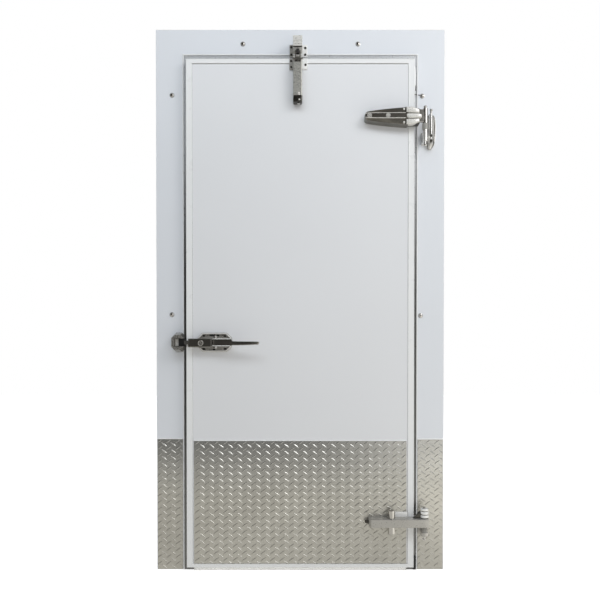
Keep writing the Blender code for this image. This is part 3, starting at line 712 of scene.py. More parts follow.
def add_lens(mesh, x, y_face, z, lens_x, lens_z, angle):
    """Raise one lens on a sheet, kept inside the sheet's x and z extents."""
    cosine, sine = math.cos(angle), math.sin(angle)
    rings = []
    for length_share, width_share, height in LENS_RINGS:
        ring = []
        for across, up in unit_ring(12):
            along = across * LENS_LENGTH / 2 * length_share
            aside = up * (1 - 0.18 * across * across) * LENS_WIDTH / 2 * width_share
            ring.append(mesh.verts.new((
                clamp(lens_x + along * cosine - aside * sine, x, 0.6), y_face - height,
                clamp(lens_z + along * sine + aside * cosine, z, 0.6))))
        rings.append(ring)
    top = mesh.verts.new((clamp(lens_x, x, 1.0), y_face - LENS_HEIGHT, clamp(lens_z, z, 1.0)))
    for one, two in zip(rings, rings[1:]):
        for k in range(12):
            after = (k + 1) % 12
            mesh.faces.new((one[k], two[k], two[after], one[after]))
    for k in range(12):
        mesh.faces.new((rings[-1][k], top, rings[-1][(k + 1) % 12]))
    mesh.faces.new(list(reversed(rings[0])))


def lens_steps(span, origin, pitch):
    """Grid steps from the origin that cover a span with one to spare."""
    return range(math.floor((span[0] - origin) / pitch) - 1,
                 math.ceil((span[1] - origin) / pitch) + 2)


def tread_sheet(name, body, x, y, z, origin):
    """A sheet with two interleaved grids of lenses, leaning opposite ways."""
    mesh = join([block(x, y, z, 0.5, 1)])
    for angle, shift in ((-LENS_ANGLE, 0), (LENS_ANGLE, 0.5)):
        for i in lens_steps(x, origin[0], LENS_PITCH_X):
            for j in lens_steps(z, origin[1], LENS_PITCH_Z):
                lens_x = origin[0] + shift * LENS_PITCH_X + i * LENS_PITCH_X
                lens_z = origin[1] + shift * LENS_PITCH_Z + j * LENS_PITCH_Z
                if x[0] - 3 < lens_x < x[1] + 3 and z[0] - 2 < lens_z < z[1] + 2:
                    add_lens(mesh, x, y[0], z, lens_x, lens_z, angle)
    bmesh.ops.remove_doubles(mesh, verts=mesh.verts, dist=1e-4)
    bmesh.ops.dissolve_degenerate(mesh, dist=1e-4, edges=mesh.edges)
    bmesh.ops.recalc_face_normals(mesh, faces=mesh.faces)
    obj = add_object("tread_sheet_" + name, mesh, TREAD, body, 50)
    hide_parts("kick_plate_" + name)


for name, body, x, y, z, origin, _, _ in KICK_PLATES:
    tread_sheet(name, body, x, y, z, origin)

# Painted highlight: a white line along the top edge of each plate
for name, body, _, _, (_, top), _, line_x, y in KICK_PLATES:
    profile = [(y, top - 0.6), (y - 2.6, top - 0.6), (y - 3.0, top + 0.2),
               (y - 2.4, top + 1.6), (y - 1.2, top + 3.4), (y, top + 4.6)]
    part("plate_edge_highlight_" + name, [prism(profile, 'YZ', *line_x, 0.3, 1)],
         TRIM, body, 60)

# ------------------------------------------------------------------ domed caps on the frame
CAP_PROFILE = [(0, 6.6), (3.0, 6.3), (5.6, 5.3), (7.4, 3.9), (8.2, 2.4), (8.4, 1.5), (9.4, 1.2),
               (9.6, 0.6), (9.5, 0.0), (0, 0)]
for name, x, z in (("header_left", -231.6, 2132), ("header_right", 233.6, 2132),
                   ("left_upper", -518.4, 1926), ("right_upper", 493.6, 1922.6),
                   ("left_middle", -520.8, 1039), ("right_middle", 488.8, 1035)):
    part("dome_" + name, [lathe(CAP_PROFILE, '-Y', (x, -0.3, z), 36)],
         CHROME, "frame", 50, replaces="cap_" + name)

# ------------------------------------------------------------------ lead above the upper hinge
# Cord down the right reveal: x, y, z, radius
CORD = ((461.0, -7.6, 2040, 1.0), (461.6, -8.2, 2036, 2.2), (462.6, -8.6, 2022, 3.3),
        (463.4, -8.8, 1998, 3.6), (463.2, -8.8, 1978, 3.2), (462.4, -8.6, 1960, 2.3),
        (461.8, -8.2, 1944, 1.9), (462.4, -7.8, 1935, 1.7), (463.0, -7.6, 1931.5, 0.8))
part("reveal_lead_cord",
     [loft([[(x + radius * across, y + min(radius, 2.0) * out, z)
             for across, out in unit_ring(16)] for x, y, z, radius in CORD])],
     TRIM, "frame", 50)
part("reveal_lead_sleeve", [block((463.6, 467.2), (-9.4, -5.9), (1941, 1963), 1.0, 2)],
     RUBBER, "frame", 50)
# Thin tail towards the domed cap: x, y, z
TAIL = ((459.6, -2.4, 1926.6), (462.4, -5.0, 1926.6), (465.0, -7.2, 1926.6),
        (468.8, -6.9, 1926.6), (472.0, -3.2, 1926.5), (474.5, -1.8, 1926.4),
        (484.8, -1.7, 1926.2))
part("reveal_lead_tail",
     [loft([[(x, y + 1.3 * out, z + 1.3 * up) for out, up in unit_ring(10)]
            for x, y, z in TAIL])],
     DARK, "frame", 50)

# ------------------------------------------------------------------ upper hinge, leaf side
STRAP_Z = 1817.0
# x, half height of the tapered strap
STRAP_STATIONS = ((254.6, 7.5), (255.6, 11.0), (258.5, 14.6), (264, 17.2), (275, 19.6),
                  (300, 23.4), (330, 27.0), (362, 30.2), (395, 33.0), (424, 35.0))
sections = []
for x, half in STRAP_STATIONS:
    slope = min(1.0, half / 19.0)
    tip = 1.0 if x > 262 else 0.80 + 0.2 * (x - 254.6) / 7.4
    face, edge = LEAF_FACE - 45.0 * tip, LEAF_FACE - 35.5 * tip
    sections.append(mirrored(x, STRAP_Z - half, STRAP_Z + half, [
        (LEAF_FACE, 0), (edge, 0), (edge - 2.2, 0.8), (edge - 3.4, 3.0),
        (face + 2.0, half - 10.6 * slope), (face, half - 9.0 * slope)]))
part("hinge_upper_strap_body", [loft(sections)], CHROME_DARK, "leaf", 24,
     replaces="upper_hinge_strap")

# Three lobes reaching for the pin: low z, high z, x of the tip, z shift of the tip
lobes = []
for low, high, tip, shift in (
        (STRAP_Z + 11.4, STRAP_Z + 34.5, 468, -5.5), (STRAP_Z - 10.6, STRAP_Z + 9.2, 477, 0),
        (STRAP_Z - 34.0, STRAP_Z - 12.8, 468, 5.5)):
    sections = []
    for x, scale_y, scale_z in ((417, 0.90, 0.92), (419.5, 1.0, 1.0), (440, 1.0, 1.0),
                                (tip - 14, 0.96, 0.90), (tip - 4, 0.86, 0.76), (tip, 0.70, 0.62)):
        middle = (low + high) / 2 + shift * max(0.0, (x - 440) / (tip - 440))
        sections.append([(x, -66.0 + out * 15.0 * scale_y,
                          middle + up * (high - low) / 2 * scale_z)
                         for out, up in unit_ring(16, 0.42)])
    lobes.append(loft(sections))
part("hinge_upper_lobes", lobes, SATIN, "leaf", 40)
part("hinge_upper_knuckle",
     [tube('Z', PIN_BORE, 9.6, 1791, 1850, PIN, 1.0),
      block((466, 489), (-66, -52), (1796, 1846), 2.0)],
     CHROME, "leaf", 35)
part("hinge_upper_web", [block((417, 470), (-70, -37), (STRAP_Z - 30, STRAP_Z + 31), 2.5)],
     DARK, "leaf", 35)

# x, y, z, radius of the two countersunk screws
STRAP_SCREWS = ((272.0, -80.2, STRAP_Z - 0.5, 9.0), (345.0, -80.2, STRAP_Z + 0.5, 8.6))
BUTTON_PROFILE = [(0, 5.0), (3.0, 4.6), (5.2, 3.0), (6.2, 0.8), (6.4, 0), (0, 0)]
part("hinge_upper_screws",
     [piece for place in STRAP_SCREWS for piece in rimmed_screw(*place)]
     + [lathe(BUTTON_PROFILE, '-Y', (408.0, -71.6, z), 24)
        for z in (STRAP_Z + 25.0, STRAP_Z - 25.0)],
     SATIN, "leaf", 45)
# Painted shade: dark discs for the countersinks round the screws
part("hinge_upper_screw_seats", [screw_seat(*place) for place in STRAP_SCREWS],
     DARK, "leaf", 45)

# Ridges along the strap's front: x, distance from its middle; then the (y, dz) profile
RIDGE_STATIONS = ((256.5, 6.8), (262, 8.6), (300, 9.6), (413, 9.9))
RIDGE_PROFILE = ((-79.2, -1.5), (-80.6, -0.8), (-80.9, 0), (-80.6, 0.8), (-79.2, 1.5),
                 (-78.2, 0))
# The ridges take the pale satin material as painted highlights on the dark strap
part("hinge_upper_ridges",
     [loft([[(x, y, STRAP_Z + sign * away + rise) for y, rise in RIDGE_PROFILE]
            for x, away in RIDGE_STATIONS]) for sign in (1, -1)],
     SATIN, "leaf", 60)
part("hinge_upper_root",
     [block((412.6, 417.8), (-77.5, -40), (STRAP_Z - 33, STRAP_Z + 34), 1.5, 2)],
     DARK, "leaf", 35)

# ------------------------------------------------------------------ upper hinge, frame side
# Share of the half width, depth in front of the frame
FLANGE_PROFILE = (
    (-1.0, 0.3), (-1.0, 11.5), (-0.95, 14.6), (-0.88, 15.6), (-0.80, 14.8), (-0.74, 11.5),
    (-0.66, 11.0), (-0.58, 15.0), (-0.50, 21.0), (-0.42, 23.6), (-0.20, 25.6), (-0.02, 26.0),
    (0.02, 22.5), (0.34, 22.5), (0.38, 25.4), (0.52, 24.0), (0.60, 20.0), (0.67, 14.5),
    (0.73, 10.5), (0.80, 10.5), (0.86, 14.0), (0.93, 15.0), (0.98, 13.6), (1.0, 10.5),
    (1.0, 0.3))


def flange_station(k):
    """x, z, half width and depth share of station k, from -15 at the foot to 15."""
    share = math.sin(k / 15 * math.pi / 2)
    width = max(21.0 * max(0.0, 1 - abs(share) ** 3.6) ** 0.50, 7.5)
    depth = max(0.42, (1 - abs(share) ** 5) ** 0.5)
    return 524.5 + 2.0 * share, 1776.5 + 71.5 * share, width, depth


sections = []
for x, z, width, share in map(flange_station, range(-15, 16)):
    sections.append([(x + across * width, -0.3 - (depth - 0.3) * (share if depth > 1 else 1), z)
                     for across, depth in FLANGE_PROFILE])
part("hinge_upper_flange_cast",
     [loft(sections),
      block((489, 520), (-6, -0.3), (1722, 1772), 2.0),
      block((489.5, 498.5), (-58, -1), (1724, 1766), 2.0),
      tube('Z', PIN_BORE, 8.6, 1722, 1768, PIN, 1.0)],
     FLANGE, "frame", 30, replaces="upper_hinge_flange")

# Painted shade in the flutes, dark strips laid in the grooves: both edges as shares of the half
# width, front and back y, last station
flutes = []
for left, right, front, back, last in ((-0.76, -0.62, -12.4, -10.0, 12),
                                       (0.70, 0.83, -11.6, -9.4, 12),
                                       (0.05, 0.16, -23.3, -21.5, 7)):
    flutes.append(loft([[(x + across * width, y * share, z) for across, y in
                         ((left, front), (right, front), (right, back), (left, back))]
                        for x, z, width, share in map(flange_station, range(-last, last + 1))]))
part("hinge_upper_flange_flutes", flutes, DARK, "frame", 35)
STUD_PROFILE = [(0, 0), (3.6, 0.6), (4.6, 2.0), (4.6, 116.0), (4.0, 118.0), (3.2, 119.0),
                (5.6, 121.0), (6.6, 124.0), (6.2, 127.4), (4.2, 130.0), (0, 131.0)]
part("hinge_upper_flange_stud", [lathe(STUD_PROFILE, 'Z', (525.0, -24.5, 1732.0), 24)],
     STEEL, "frame", 40)
part("hinge_upper_flange_screws",
     [screw(524.5, -29.6, 1754, 5.4, 2.2), screw(525.5, -28.6, 1735, 6.0, 2.4)],
     DARK, "frame", 45)

PIN_TOP_PROFILE = [(0, 10.0), (3.4, 9.4), (6.0, 7.4), (7.2, 4.6), (6.6, 1.8), (5.0, 0), (0, 0)]
PIN_FOOT_PROFILE = [(0, 9.0), (3.4, 8.6), (6.2, 6.8), (7.4, 4.4), (7.4, 1.6), (6.0, 0), (0, 0)]
part("hinge_upper_pin_turned",
     [bar('Z', 4.75, 1709, 1854, PIN, 0.6),
      lathe(PIN_TOP_PROFILE, 'Z', (*PIN, 1852.6), 28),
      lathe(PIN_FOOT_PROFILE, '-Z', (*PIN, 1711), 28)],
     STEEL, "hinge_pins", 40, replaces="upper_hinge_pin")

# ------------------------------------------------------------------ lower hinge
BAR_LOW, BAR_HIGH = 194.6, 227.6
STUD = (363, -64)             # x, y of the upright stud
# x, back y, front y, taper at the top and the bottom
BAR_STATIONS = ((272, -40, -60, 6.0), (274, -39, -70, 3.0), (279, -38, -80, 1.2),
                (290, -37.6, -84.2, 0.0), (330, -37.6, -85, 0.0), (486, -44.5, -85, 0.0),
                (500, -66.0, -84.6, 0.0), (508, -72.0, -82.5, 0.4))
part("hinge_lower_bar_cast",
     [loft([mirrored(x, BAR_LOW + taper, BAR_HIGH - taper,
                     [(back, 0), (front + 2.6, 0), (front + 0.7, 0.8), (front, 2.6)])
            for x, back, front, taper in BAR_STATIONS])],
     GREY, "leaf", 30,
     cuts=[drill('Z', 14.5, 180, 190, STUD), drill('Z', 12.2, 150, 194.5, PIN),
           drill('Z', PIN_BORE, 150, 300, PIN)],
     replaces="lower_hinge_strap")
part("hinge_lower_bar_tip",
     [prism([(258, -50), (262, -60), (276, -66), (276, -46)], 'XY', 206, 216, 1.2, 3)],
     DARK, "leaf", 35)

CORE_PROFILE = [(12.2, -33.0), (15.4, -33.0), (16.2, -32.0), (16.2, 0.0), (14.2, 0.4),
                (14.2, 36.0), (PIN_BORE, 36.6), (PIN_BORE, -31.0), (12.2, -31.5), (12.2, -33.0)]
part("hinge_lower_knuckle_core", [lathe(CORE_PROFILE, 'Z', (*PIN, BAR_HIGH), 40)],
     CHROME_DARK, "leaf", 35)

# Rings round the core: low, high, radius, inner radius; the top one closes over it
rings = []
for low, high, radius, inner in ((2.6, 13.0, 17.0, 14.0), (16.4, 26.6, 16.6, 14.0),
                                 (30.0, 38.4, 15.6, 5.2)):
    profile = [(14.0, low), (radius - 1.2, low), (radius, low + 1.4), (radius, high - 1.8),
               (radius - 1.6, high), (inner, high), (inner, low), (14.0, low)]
    rings.append(lathe(profile, 'Z', (*PIN, BAR_HIGH), 40))
# The rings are pale as painted highlights
part("hinge_lower_knuckle_rings", rings, PAINTED_HIGHLIGHT, "leaf", 35)
part("hinge_lower_gusset",
     [prism([(446, 226), (482, 226), (482, 254), (476, 252)], 'XZ', -66, -50, 1.2)],
     DARK, "leaf", 30)
# A pale pad behind the bar, painted as a highlight
part("hinge_lower_base_pad", [block((378, 430), (-43, -37.6), (186, 247), 2.2)],
     PAINTED_HIGHLIGHT, "leaf", 35)
part("hinge_lower_stud_turned", [bar('Z', 14.0, 166, 260, STUD, 2.0, 40)],
     CHROME, "leaf", 35, replaces="lower_hinge_stud")


def octagon(x_low, x_high, z_low, z_high, corner):
    """A rectangle with cut corners."""
    return [(x_low + corner, z_low), (x_high - corner, z_low), (x_high, z_low + corner),
            (x_high, z_high - corner), (x_high - corner, z_high), (x_low + corner, z_high),
            (x_low, z_high - corner), (x_low, z_low + corner)]


FOOT_PLATE = [(484, 146), (511, 146), (516, 151), (516, 171), (511, 176), (484, 176),
              (479, 171), (479, 151)]
part("hinge_lower_flange_cast",
     [prism(FOOT_PLATE, 'XZ', -7, -2.7, 1.2, 3, low_rim_only=True),
      block((488.5, 499.5), (-58, -4), (157, 170), 2.0),
      tube('Z', PIN_BORE, 15, 156, 171, PIN, 1.2)],
     GREY, "frame", 35, replaces="lower_hinge_flange")
PIN_END_PROFILE = [(0, 5.5), (4.0, 5.2), (6.8, 4.0), (7.4, 2.0), (7.4, 0), (0, 0)]
part("hinge_lower_pin_turned",
     [bar('Z', 4.75, 143, 269, PIN, 0.6),
      lathe(PIN_END_PROFILE, 'Z', (*PIN, 267.6), 28),
      lathe(PIN_END_PROFILE, '-Z', (*PIN, 145), 28)],
     STEEL, "hinge_pins", 40, replaces="lower_hinge_pin")

# ------------------------------------------------------------------ latch strike
STRIKE_X, STRIKE_Z = -490.0, 926.5
# Width, height, corner, y
STRIKE_STATIONS = ((53, 78, 16, -2.4), (54, 79, 16, -4), (54, 79, 16, -12), (52, 74, 15, -20),
                   (49, 66, 14, -40), (47, 62, 13, -52), (44, 58, 12, -55.5))
sections = []
for width, height, corner, y in STRIKE_STATIONS:
    outline = octagon(STRIKE_X - width / 2, STRIKE_X + width / 2,
                      STRIKE_Z - height / 2, STRIKE_Z + height / 2, corner)
    sections.append([(x, y, z) for x, z in outline])
part("strike_cast", [loft(sections)], STRIKE, "frame", 28,
     cuts=[block((-502, -440), (-80, -30), (910.5, 942.5), 0)], rounding=(0.9, 40),
     replaces="latch_strike")
part("strike_shim_plate", [block((-500.5, -483), (-40, -30.5), (912, 941), 1.5)],
     SATIN, "frame", 35)
# Painted shade: a black block lines the bolt pocket
part("strike_pocket_painted_shade", [block((-486, -464), (-46, -29.5), (911.5, 941.5), 1.0, 2)],
     PAINTED_SHADE_BLACK, "frame", 35)
part("strike_screws",
     [screw(STRIKE_X, -51.5, z, 4.6, 2.2) for z in (STRIKE_Z + 26.5, STRIKE_Z - 26.5)],
     CHROME_SATIN, "frame", 45)


# ------------------------------------------------------------------ latch base
def base_outline(inset, corner):
    return octagon(-409 + inset, -274 - inset, 889 + inset, 965 - inset, corner)


part("latch_base_cast",
     [prism(base_outline(0, 19), 'XZ', -49.3, LEAF_FACE, 2.4, 3, low_rim_only=True)],
     GREY, "leaf", 28,
     cuts=[prism(base_outline(6, 17), 'XZ', -60, -40.3, 0),
           block((-420, -390), (-60, -40.3), (904.5, 943.5), 0),
           drill('Y', 5.6, -60, -20, RELEASE)],
     rounding=(0.8, 50), replaces="latch_base")
# A pale rim inside the base, painted as a highlight
part("latch_base_rim", [prism(base_outline(1.6, 18.4), 'XZ', -50.1, -48.8, 0)],
     PAINTED_HIGHLIGHT, "leaf", 30,
     cuts=[prism(base_outline(4.6, 17.4), 'XZ', -60, -40, 0),
           block((-420, -400), (-60, -40), (904.5, 943.5), 0)])

# Painted shade: black patches for the slots in the floor of the base: x, z, half width
BASE_SLOTS = ((-386, 952.5, 4.5), (-352, 955.2, 11.0), (-329, 954.5, 6.0), (-301, 951.5, 5.0),
              (-386, 900.5, 5.0), (-301, 900.5, 6.0), (-345, 897.2, 5.0))
part("latch_base_slots",
     [block((x - half, x + half), (-41.2, -39.6), (z - 3.0, z + 3.0), 0.5, 2)
      for x, z, half in BASE_SLOTS],
     PAINTED_SHADE_BLACK, "leaf", 35)
EAR_OUTLINE = [(-343, -40), (-343, -70), (-340, -75), (-335, -77), (-330, -75), (-327, -70),
               (-327, -40)]
part("latch_base_ears",
     [prism(EAR_OUTLINE, 'XY', low, high, 0.6) for low, high in ((942.8, 947.5), (904.5, 909.7))],
     CHROME, "leaf", 30)
part("latch_base_screws",
     [screw(x, -40.3, z, 5.0, 3.2)
      for x, z in ((-370, 956.5), (-311, 951.5), (-372, 896.5), (-309, 897.5))],
     CHROME_SATIN, "leaf", 45)

# ------------------------------------------------------------------ latch housing and key
part("latch_housing_cast", [block((-443, -349.5), (-76, -40.6), (907, 941.6), 3.2, 4)],
     CHROME_MID, "leaf", 30,
     cuts=[block((-440, -352), (-73, -30), (910, 939), 0),
           block((-460, -330), (-52, -30), (916, 936), 0),
           drill('Y', 11.4, -90, -60, KEY, 48)],
     replaces="latch_housing")
part("key_cylinder_turned",
     [tube('Y', 8.2, 10.9, -78.6, -62, KEY, 0.8, 48), bar('Y', 8.0, -77.4, -60, KEY, 0.5, 40)],
     CHROME_SATIN, "key_cylinder", 35,
     cuts=[block((-394, -392), (-90, -72), (918.5, 928.5), 0)], replaces="key_cylinder")
part("key_tail", [block((-396, -390), (-60.5, -57.5), (915, 929), 0.8, 2)],
     STEEL, "key_cylinder")

# ------------------------------------------------------------------ latch lever
# Painted highlights, pale strips along the edges above and below the hub: x, y along the edge;
# then (y, z) offsets
EDGE_STATIONS = ((-346.5, -78.2), (-335, -83.2), (-320, -84.9), (-300, -87.3), (-276, -91.0))
EDGE_PROFILE = ((0, -1.5), (-0.9, -0.9), (-0.5, 0.7), (2.0, 1.5), (5.0, 1.2), (4.0, -1.0))
part("lever_hub_edges",
     [loft([[(x, y + out, z + sign * rise) for out, rise in EDGE_PROFILE]
            for x, y in EDGE_STATIONS]) for z, sign in ((940.6, 1.0), (913.0, -1.0))],
     PAINTED_HIGHLIGHT, "latch_handle", 40)

HUB_PROFILE = [(0, 0), (10.8, 0), (11.8, 0.8), (12.2, 2.2), (12.2, 27.4), (11.8, 28.8),
               (10.8, 29.6), (0, 29.6)]
# x, back y, front y, low z, high z
SHOULDER_STATIONS = (
    (-338, -61, -81.5, 912.5, 940.6), (-320, -61.6, -84, 912.0, 941.0),
    (-300, -62.1, -86.5, 912.0, 941.0), (-286, -63.0, -88.6, 912.2, 940.8),
    (-274, -69.0, -90.6, 912.8, 940.0), (-268, -74.0, -91.8, 913.6, 937.0))
GRIP_STATIONS = (
    (-276, -74, -90.5, 915.0, 934.0), (-264, -77, -93.0, 915.0, 931.6),
    (-245, -81.5, -96.6, 915.0, 930.6), (-225, -85.0, -99.0, 915.6, 930.4),
    (-195, -86.2, -99.8, 916.6, 930.2), (-168, -86.8, -98.6, 917.6, 930.0),
    (-161.5, -88.2, -96.6, 919.0, 929.0))


def lever_arm(stations, back_rise, back_step, front_round, front_step):
    """A bar with chamfered back corners and rounded front ones."""
    return loft([mirrored(x, low, high, [
        (back, back_rise), (back - back_step, 0), (front + front_round, 0),
        (front + front_step, front_step), (front, front_round)])
        for x, back, front, low, high in stations])


part("lever_cast",
     [lathe(HUB_PROFILE, 'Z', (*LEVER, 911.5), 40),
      lever_arm(SHOULDER_STATIONS, 1.5, 1.2, 2.2, 0.6),
      lever_arm(GRIP_STATIONS, 1.6, 1.6, 3.0, 0.8),
      block((-338, -332), (-66, -43), (922, 930), 1.0, 2)],
     CHROME_MID, "latch_handle", 32, replaces="latch_handle")
PIVOT_HEAD = [(0, 4.0), (3.0, 3.8), (5.0, 2.8), (5.6, 1.2), (5.6, 0), (0, 0)]
part("lever_pivot_turned",
     [bar('Z', 3.5, 902, 948, LEVER, 0.5, 28), lathe(PIVOT_HEAD, 'Z', (*LEVER, 947.8), 28)],
     STEEL, "latch_handle", 40, replaces="latch_pivot_pin")


def recolor(name, material):
    """Give a CAD piece that stays in view one material."""
    materials = frame["nodes"][name].data.materials
    materials.clear()
    materials.append(material)


for name in ("latch_bolt", "latch_spring"):
    recolor(name, STEEL)

# ------------------------------------------------------------------ inside release
KNOB_PROFILE = [(5.2, 16.2), (9, 16.3), (15.5, 15.6), (19.6, 13.8), (21.6, 11.0), (22.0, 8.0),
                (21.0, 4.6), (18.0, 2.0), (13.0, 0.6), (8.0, 0.0), (5.2, 0.0), (5.2, 16.2)]
part("release_knob_moulded", [lathe(KNOB_PROFILE, 'Y', on_axis('Y', 83.3, RELEASE), 48)],
     KNOB, "inside_release", 40, replaces="release_knob")
part("release_rod_turned", [bar('Y', 5.0, -61.2, 97.5, RELEASE)],
     STEEL, "inside_release", 40, replaces="release_rod")
SLEEVE_PROFILE = [(5.4, 101.2), (5.4, 0), (8, 0), (8, 99.4), (15.0, 99.4), (17.0, 100.2),
                  (17.2, 101.2), (15.6, 102.4), (7.0, 102.6), (5.4, 101.2)]
part("release_sleeve_turned", [lathe(SLEEVE_PROFILE, 'Y', on_axis('Y', -33.8, RELEASE), 40)],
     CHROME, "leaf", 35, replaces="release_sleeve")


# ------------------------------------------------------------------ closer
def closer_bores():
    """The wide bore and the narrow one above it."""
    return [drill('Z', 12, 1880, 2018, CLOSER), drill('Z', 5.5, 2000, 2040, CLOSER)]


part("closer_body_extruded",
     [squared_column(((1898, 0.97), (1899.5, 1.0), (2027, 1.0), (2028.4, 0.97)),
                     17.4, 17.2, 0.17)],
     SILVER, "leaf", 35, cuts=closer_bores(), replaces="closer_body")
# (y, z) outline of the two cheeks
CHEEK = [(-38, 2010), (-66, 2014), (-68, 2040), (-66, 2054), (-58, 2059), (-48, 2058),
         (-44, 2050), (-38, 2050)]
part("closer_saddle",
     [block((-43, 8), (-40.2, LEAF_FACE), (2012, 2056.5), 1.6),
      block((-24, 4), (-58, -38), (1960, 2050), 1.5, 2)]
     + [prism(CHEEK, 'YZ', low, high, 0.6) for low, high in ((-27.2, -22.2), (2.2, 7.2))],
     GREY, "leaf", 32,
     cuts=[block((-22, 2), (-90, -42), (2028.6, 2070), 0),
           drill('X', 3.4, -40, 20, (CLOSER[1], CLOSER_ARM_Z), 24)] + closer_bores())
COLLAR_PROFILE = [(11.6, 0), (18.6, 0), (19.0, 1.2), (19.0, 3.4), (18.2, 4.8), (19.0, 6.2),
                  (19.0, 10.4), (18.0, 12.0), (17.4, 13.0), (17.4, 26), (12.2, 26),
                  (12.2, 0.2), (11.6, 0)]
part("closer_collar", [lathe(COLLAR_PROFILE, 'Z', (*CLOSER, 1898.4), 44)],
     GREY, "leaf", 35)
# The right ear is pale as a painted highlight
part("closer_base_ear", [block((6, 29), (-40.4, LEAF_FACE), (2014, 2056.5), 1.6)],
     PAINTED_HIGHLIGHT, "leaf", 32)
part("closer_base_screws",
     [screw(-36, -40.2, 2022, 4.2, 2.2), screw(21, -40.4, 2031, 4.8, 2.6),
      screw(-36, -40.2, 2046, 4.2, 2.2)],
     DARK, "leaf", 45)

ADJUSTER = (CLOSER[0] + 4, CLOSER[1] - 2)
part("closer_end_cap_cast",
     [squared_column(((1872.0, 0.80), (1873.2, 0.92), (1876, 0.98), (1881, 1.0), (1896, 1.0),
                      (1897.8, 0.97)), 18.2, 18.0, 0.30),
      bar('Z', 11.4, 1890, 1911, CLOSER, 0.5, 36)],
     DARK, "leaf", 32, cuts=[drill('Z', 4.4, 1850, 1885, ADJUSTER, 24)],
     replaces="closer_end_cap")
part("closer_cap_screw",
     [lathe([(0, 2.6), (2.0, 2.4), (3.4, 1.5), (3.8, 0), (0, 0)], '-Y',
            (-3.4, -73.9, 1881.0), 24)],
     SATIN, "leaf", 45)
ADJUSTER_PROFILE = [(0, 18), (4.0, 18), (4.0, 2.5), (6.0, 1.8), (6.2, 0.6), (5.0, 0), (2.4, 0),
                    (2.2, 2.4), (0, 2.4)]
part("closer_adjuster_turned", [lathe(ADJUSTER_PROFILE, 'Z', (*ADJUSTER, 1868.0), 28)],
     CHROME_SATIN, "closer_adjuster", 40, replaces="closer_adjuster")

# ------------------------------------------------------------------ closer hook on the header
# (y, z) outline
HOOK = [(-2.1, 2077), (-5.0, 2077), (-5.0, 2095), (-60, 2092.2), (-69, 2090.6), (-71.5, 2091.6),
        (-72.5, 2094), (-72.5, 2130), (-71.0, 2133), (-67, 2134.4), (-5.0, 2134.4),
        (-2.1, 2134.4)]
part("hook_cast", [prism(HOOK, 'YZ', -28.5, 8.5, 1.6, 3)],
     SATIN, "frame", 30, replaces="closer_hook")
# The left ear takes the grey material as painted shade and the right ear the pale one as painted
# highlight; both are ears of one plate
for side, x, material in (("left", (-43, -27), GREY), ("right", (7, 29), PAINTED_HIGHLIGHT)):
    part("hook_plate_ear_" + side, [block(x, (-5.2, -0.4), (2077, 2127), 1.5)],
         material, "frame", 35)
part("hook_face_ribs",
     [block((-25.5, 5.5), (-73.0, -71.8), (z - 0.7, z + 0.7), 0.3, 2) for z in (2099.0, 2113.0)],
     GREY, "frame", 35)
# Painted shadow: a dark strip under the hook's face
part("hook_underside_painted_shadow", [block((-27.5, 7.5), (-71.5, -66.0), (2088.7, 2091.4), 0.6, 2)],
     DARK, "frame", 35)
part("hook_screws",
     [screw(x, -5.2, z, 5.0, 3.0)
      for x, z in ((-36, 2117), (20.5, 2114), (-36, 2087), (20.5, 2087))],
     DARK, "frame", 45)
ROLLER_PROFILE = [(3.3, -6.2), (9.2, -6.3), (10.6, -5.4), (11.0, -4.0), (11.0, 4.0),
                  (10.6, 5.4), (9.2, 6.3), (3.3, 6.2), (3.3, -6.2)]
part("closer_roller_turned",
     [lathe(ROLLER_PROFILE, 'X', (CLOSER[0], CLOSER[1] + 4.6, 2078), 40)],
     ROLLER, "closer_roller", 40, replaces="closer_roller")

# ------------------------------------------------------------------ CAD pieces that stay
for name, material in (("closer_arm", CHROME), ("closer_piston", STEEL),
                       ("closer_spring", STEEL)):
    recolor(name, material)
round_edges(frame["nodes"]["closer_arm"], 0.5, 50)
for name in frame["nodes"]:
    if name.endswith("_core"):
        recolor(name, FOAM)
    elif "_cam_" in name:
        recolor(name, NYLON)


# ------------------------------------------------------------------ floor (metres from here on)
def floor_material():
    """Even and pale to the camera; to other rays a dark floor that glows as painted light, mostly
    near the door.
    """
    material, shader = new_material("floor_pale")
    tree = material.node_tree
    camera_ray = node(tree, "LightPath").outputs["Is Camera Ray"]
    position = world_position(tree)
    near = ease(position["Y"], to=(0.0, 1.0), span=(-3.1, -1.1))
    far_glow = ease(position["X"], to=(0.02, 0.85), span=(-0.1, 1.7))
    near_glow = ease(position["X"], to=(0.56, 1.15), span=(0.50, 0.95))
    glow = mix(near, far_glow, near_glow, 'FLOAT')
    set_inputs(shader, {
        "Roughness": 0.8,
        "Specular IOR Level": 0.1,
        "Base Color": mix(camera_ray, (0.10, 0.095, 0.085), (0.90, 0.90, 0.90)),
        "Emission Color": mix(camera_ray, (1.0, 0.975, 0.90), (1, 1, 1)),
        "Emission Strength": mix(camera_ray, glow, 0.80, 'FLOAT')})
    return material


mesh = bmesh.new()
bmesh.ops.create_grid(mesh, x_segments=1, y_segments=1, size=8.0)
floor_data = bpy.data.meshes.new("floor")
mesh.to_mesh(floor_data)
mesh.free()
floor = bpy.data.objects.new("floor", floor_data)
scene.collection.objects.link(floor)
floor_data.materials.append(floor_material())

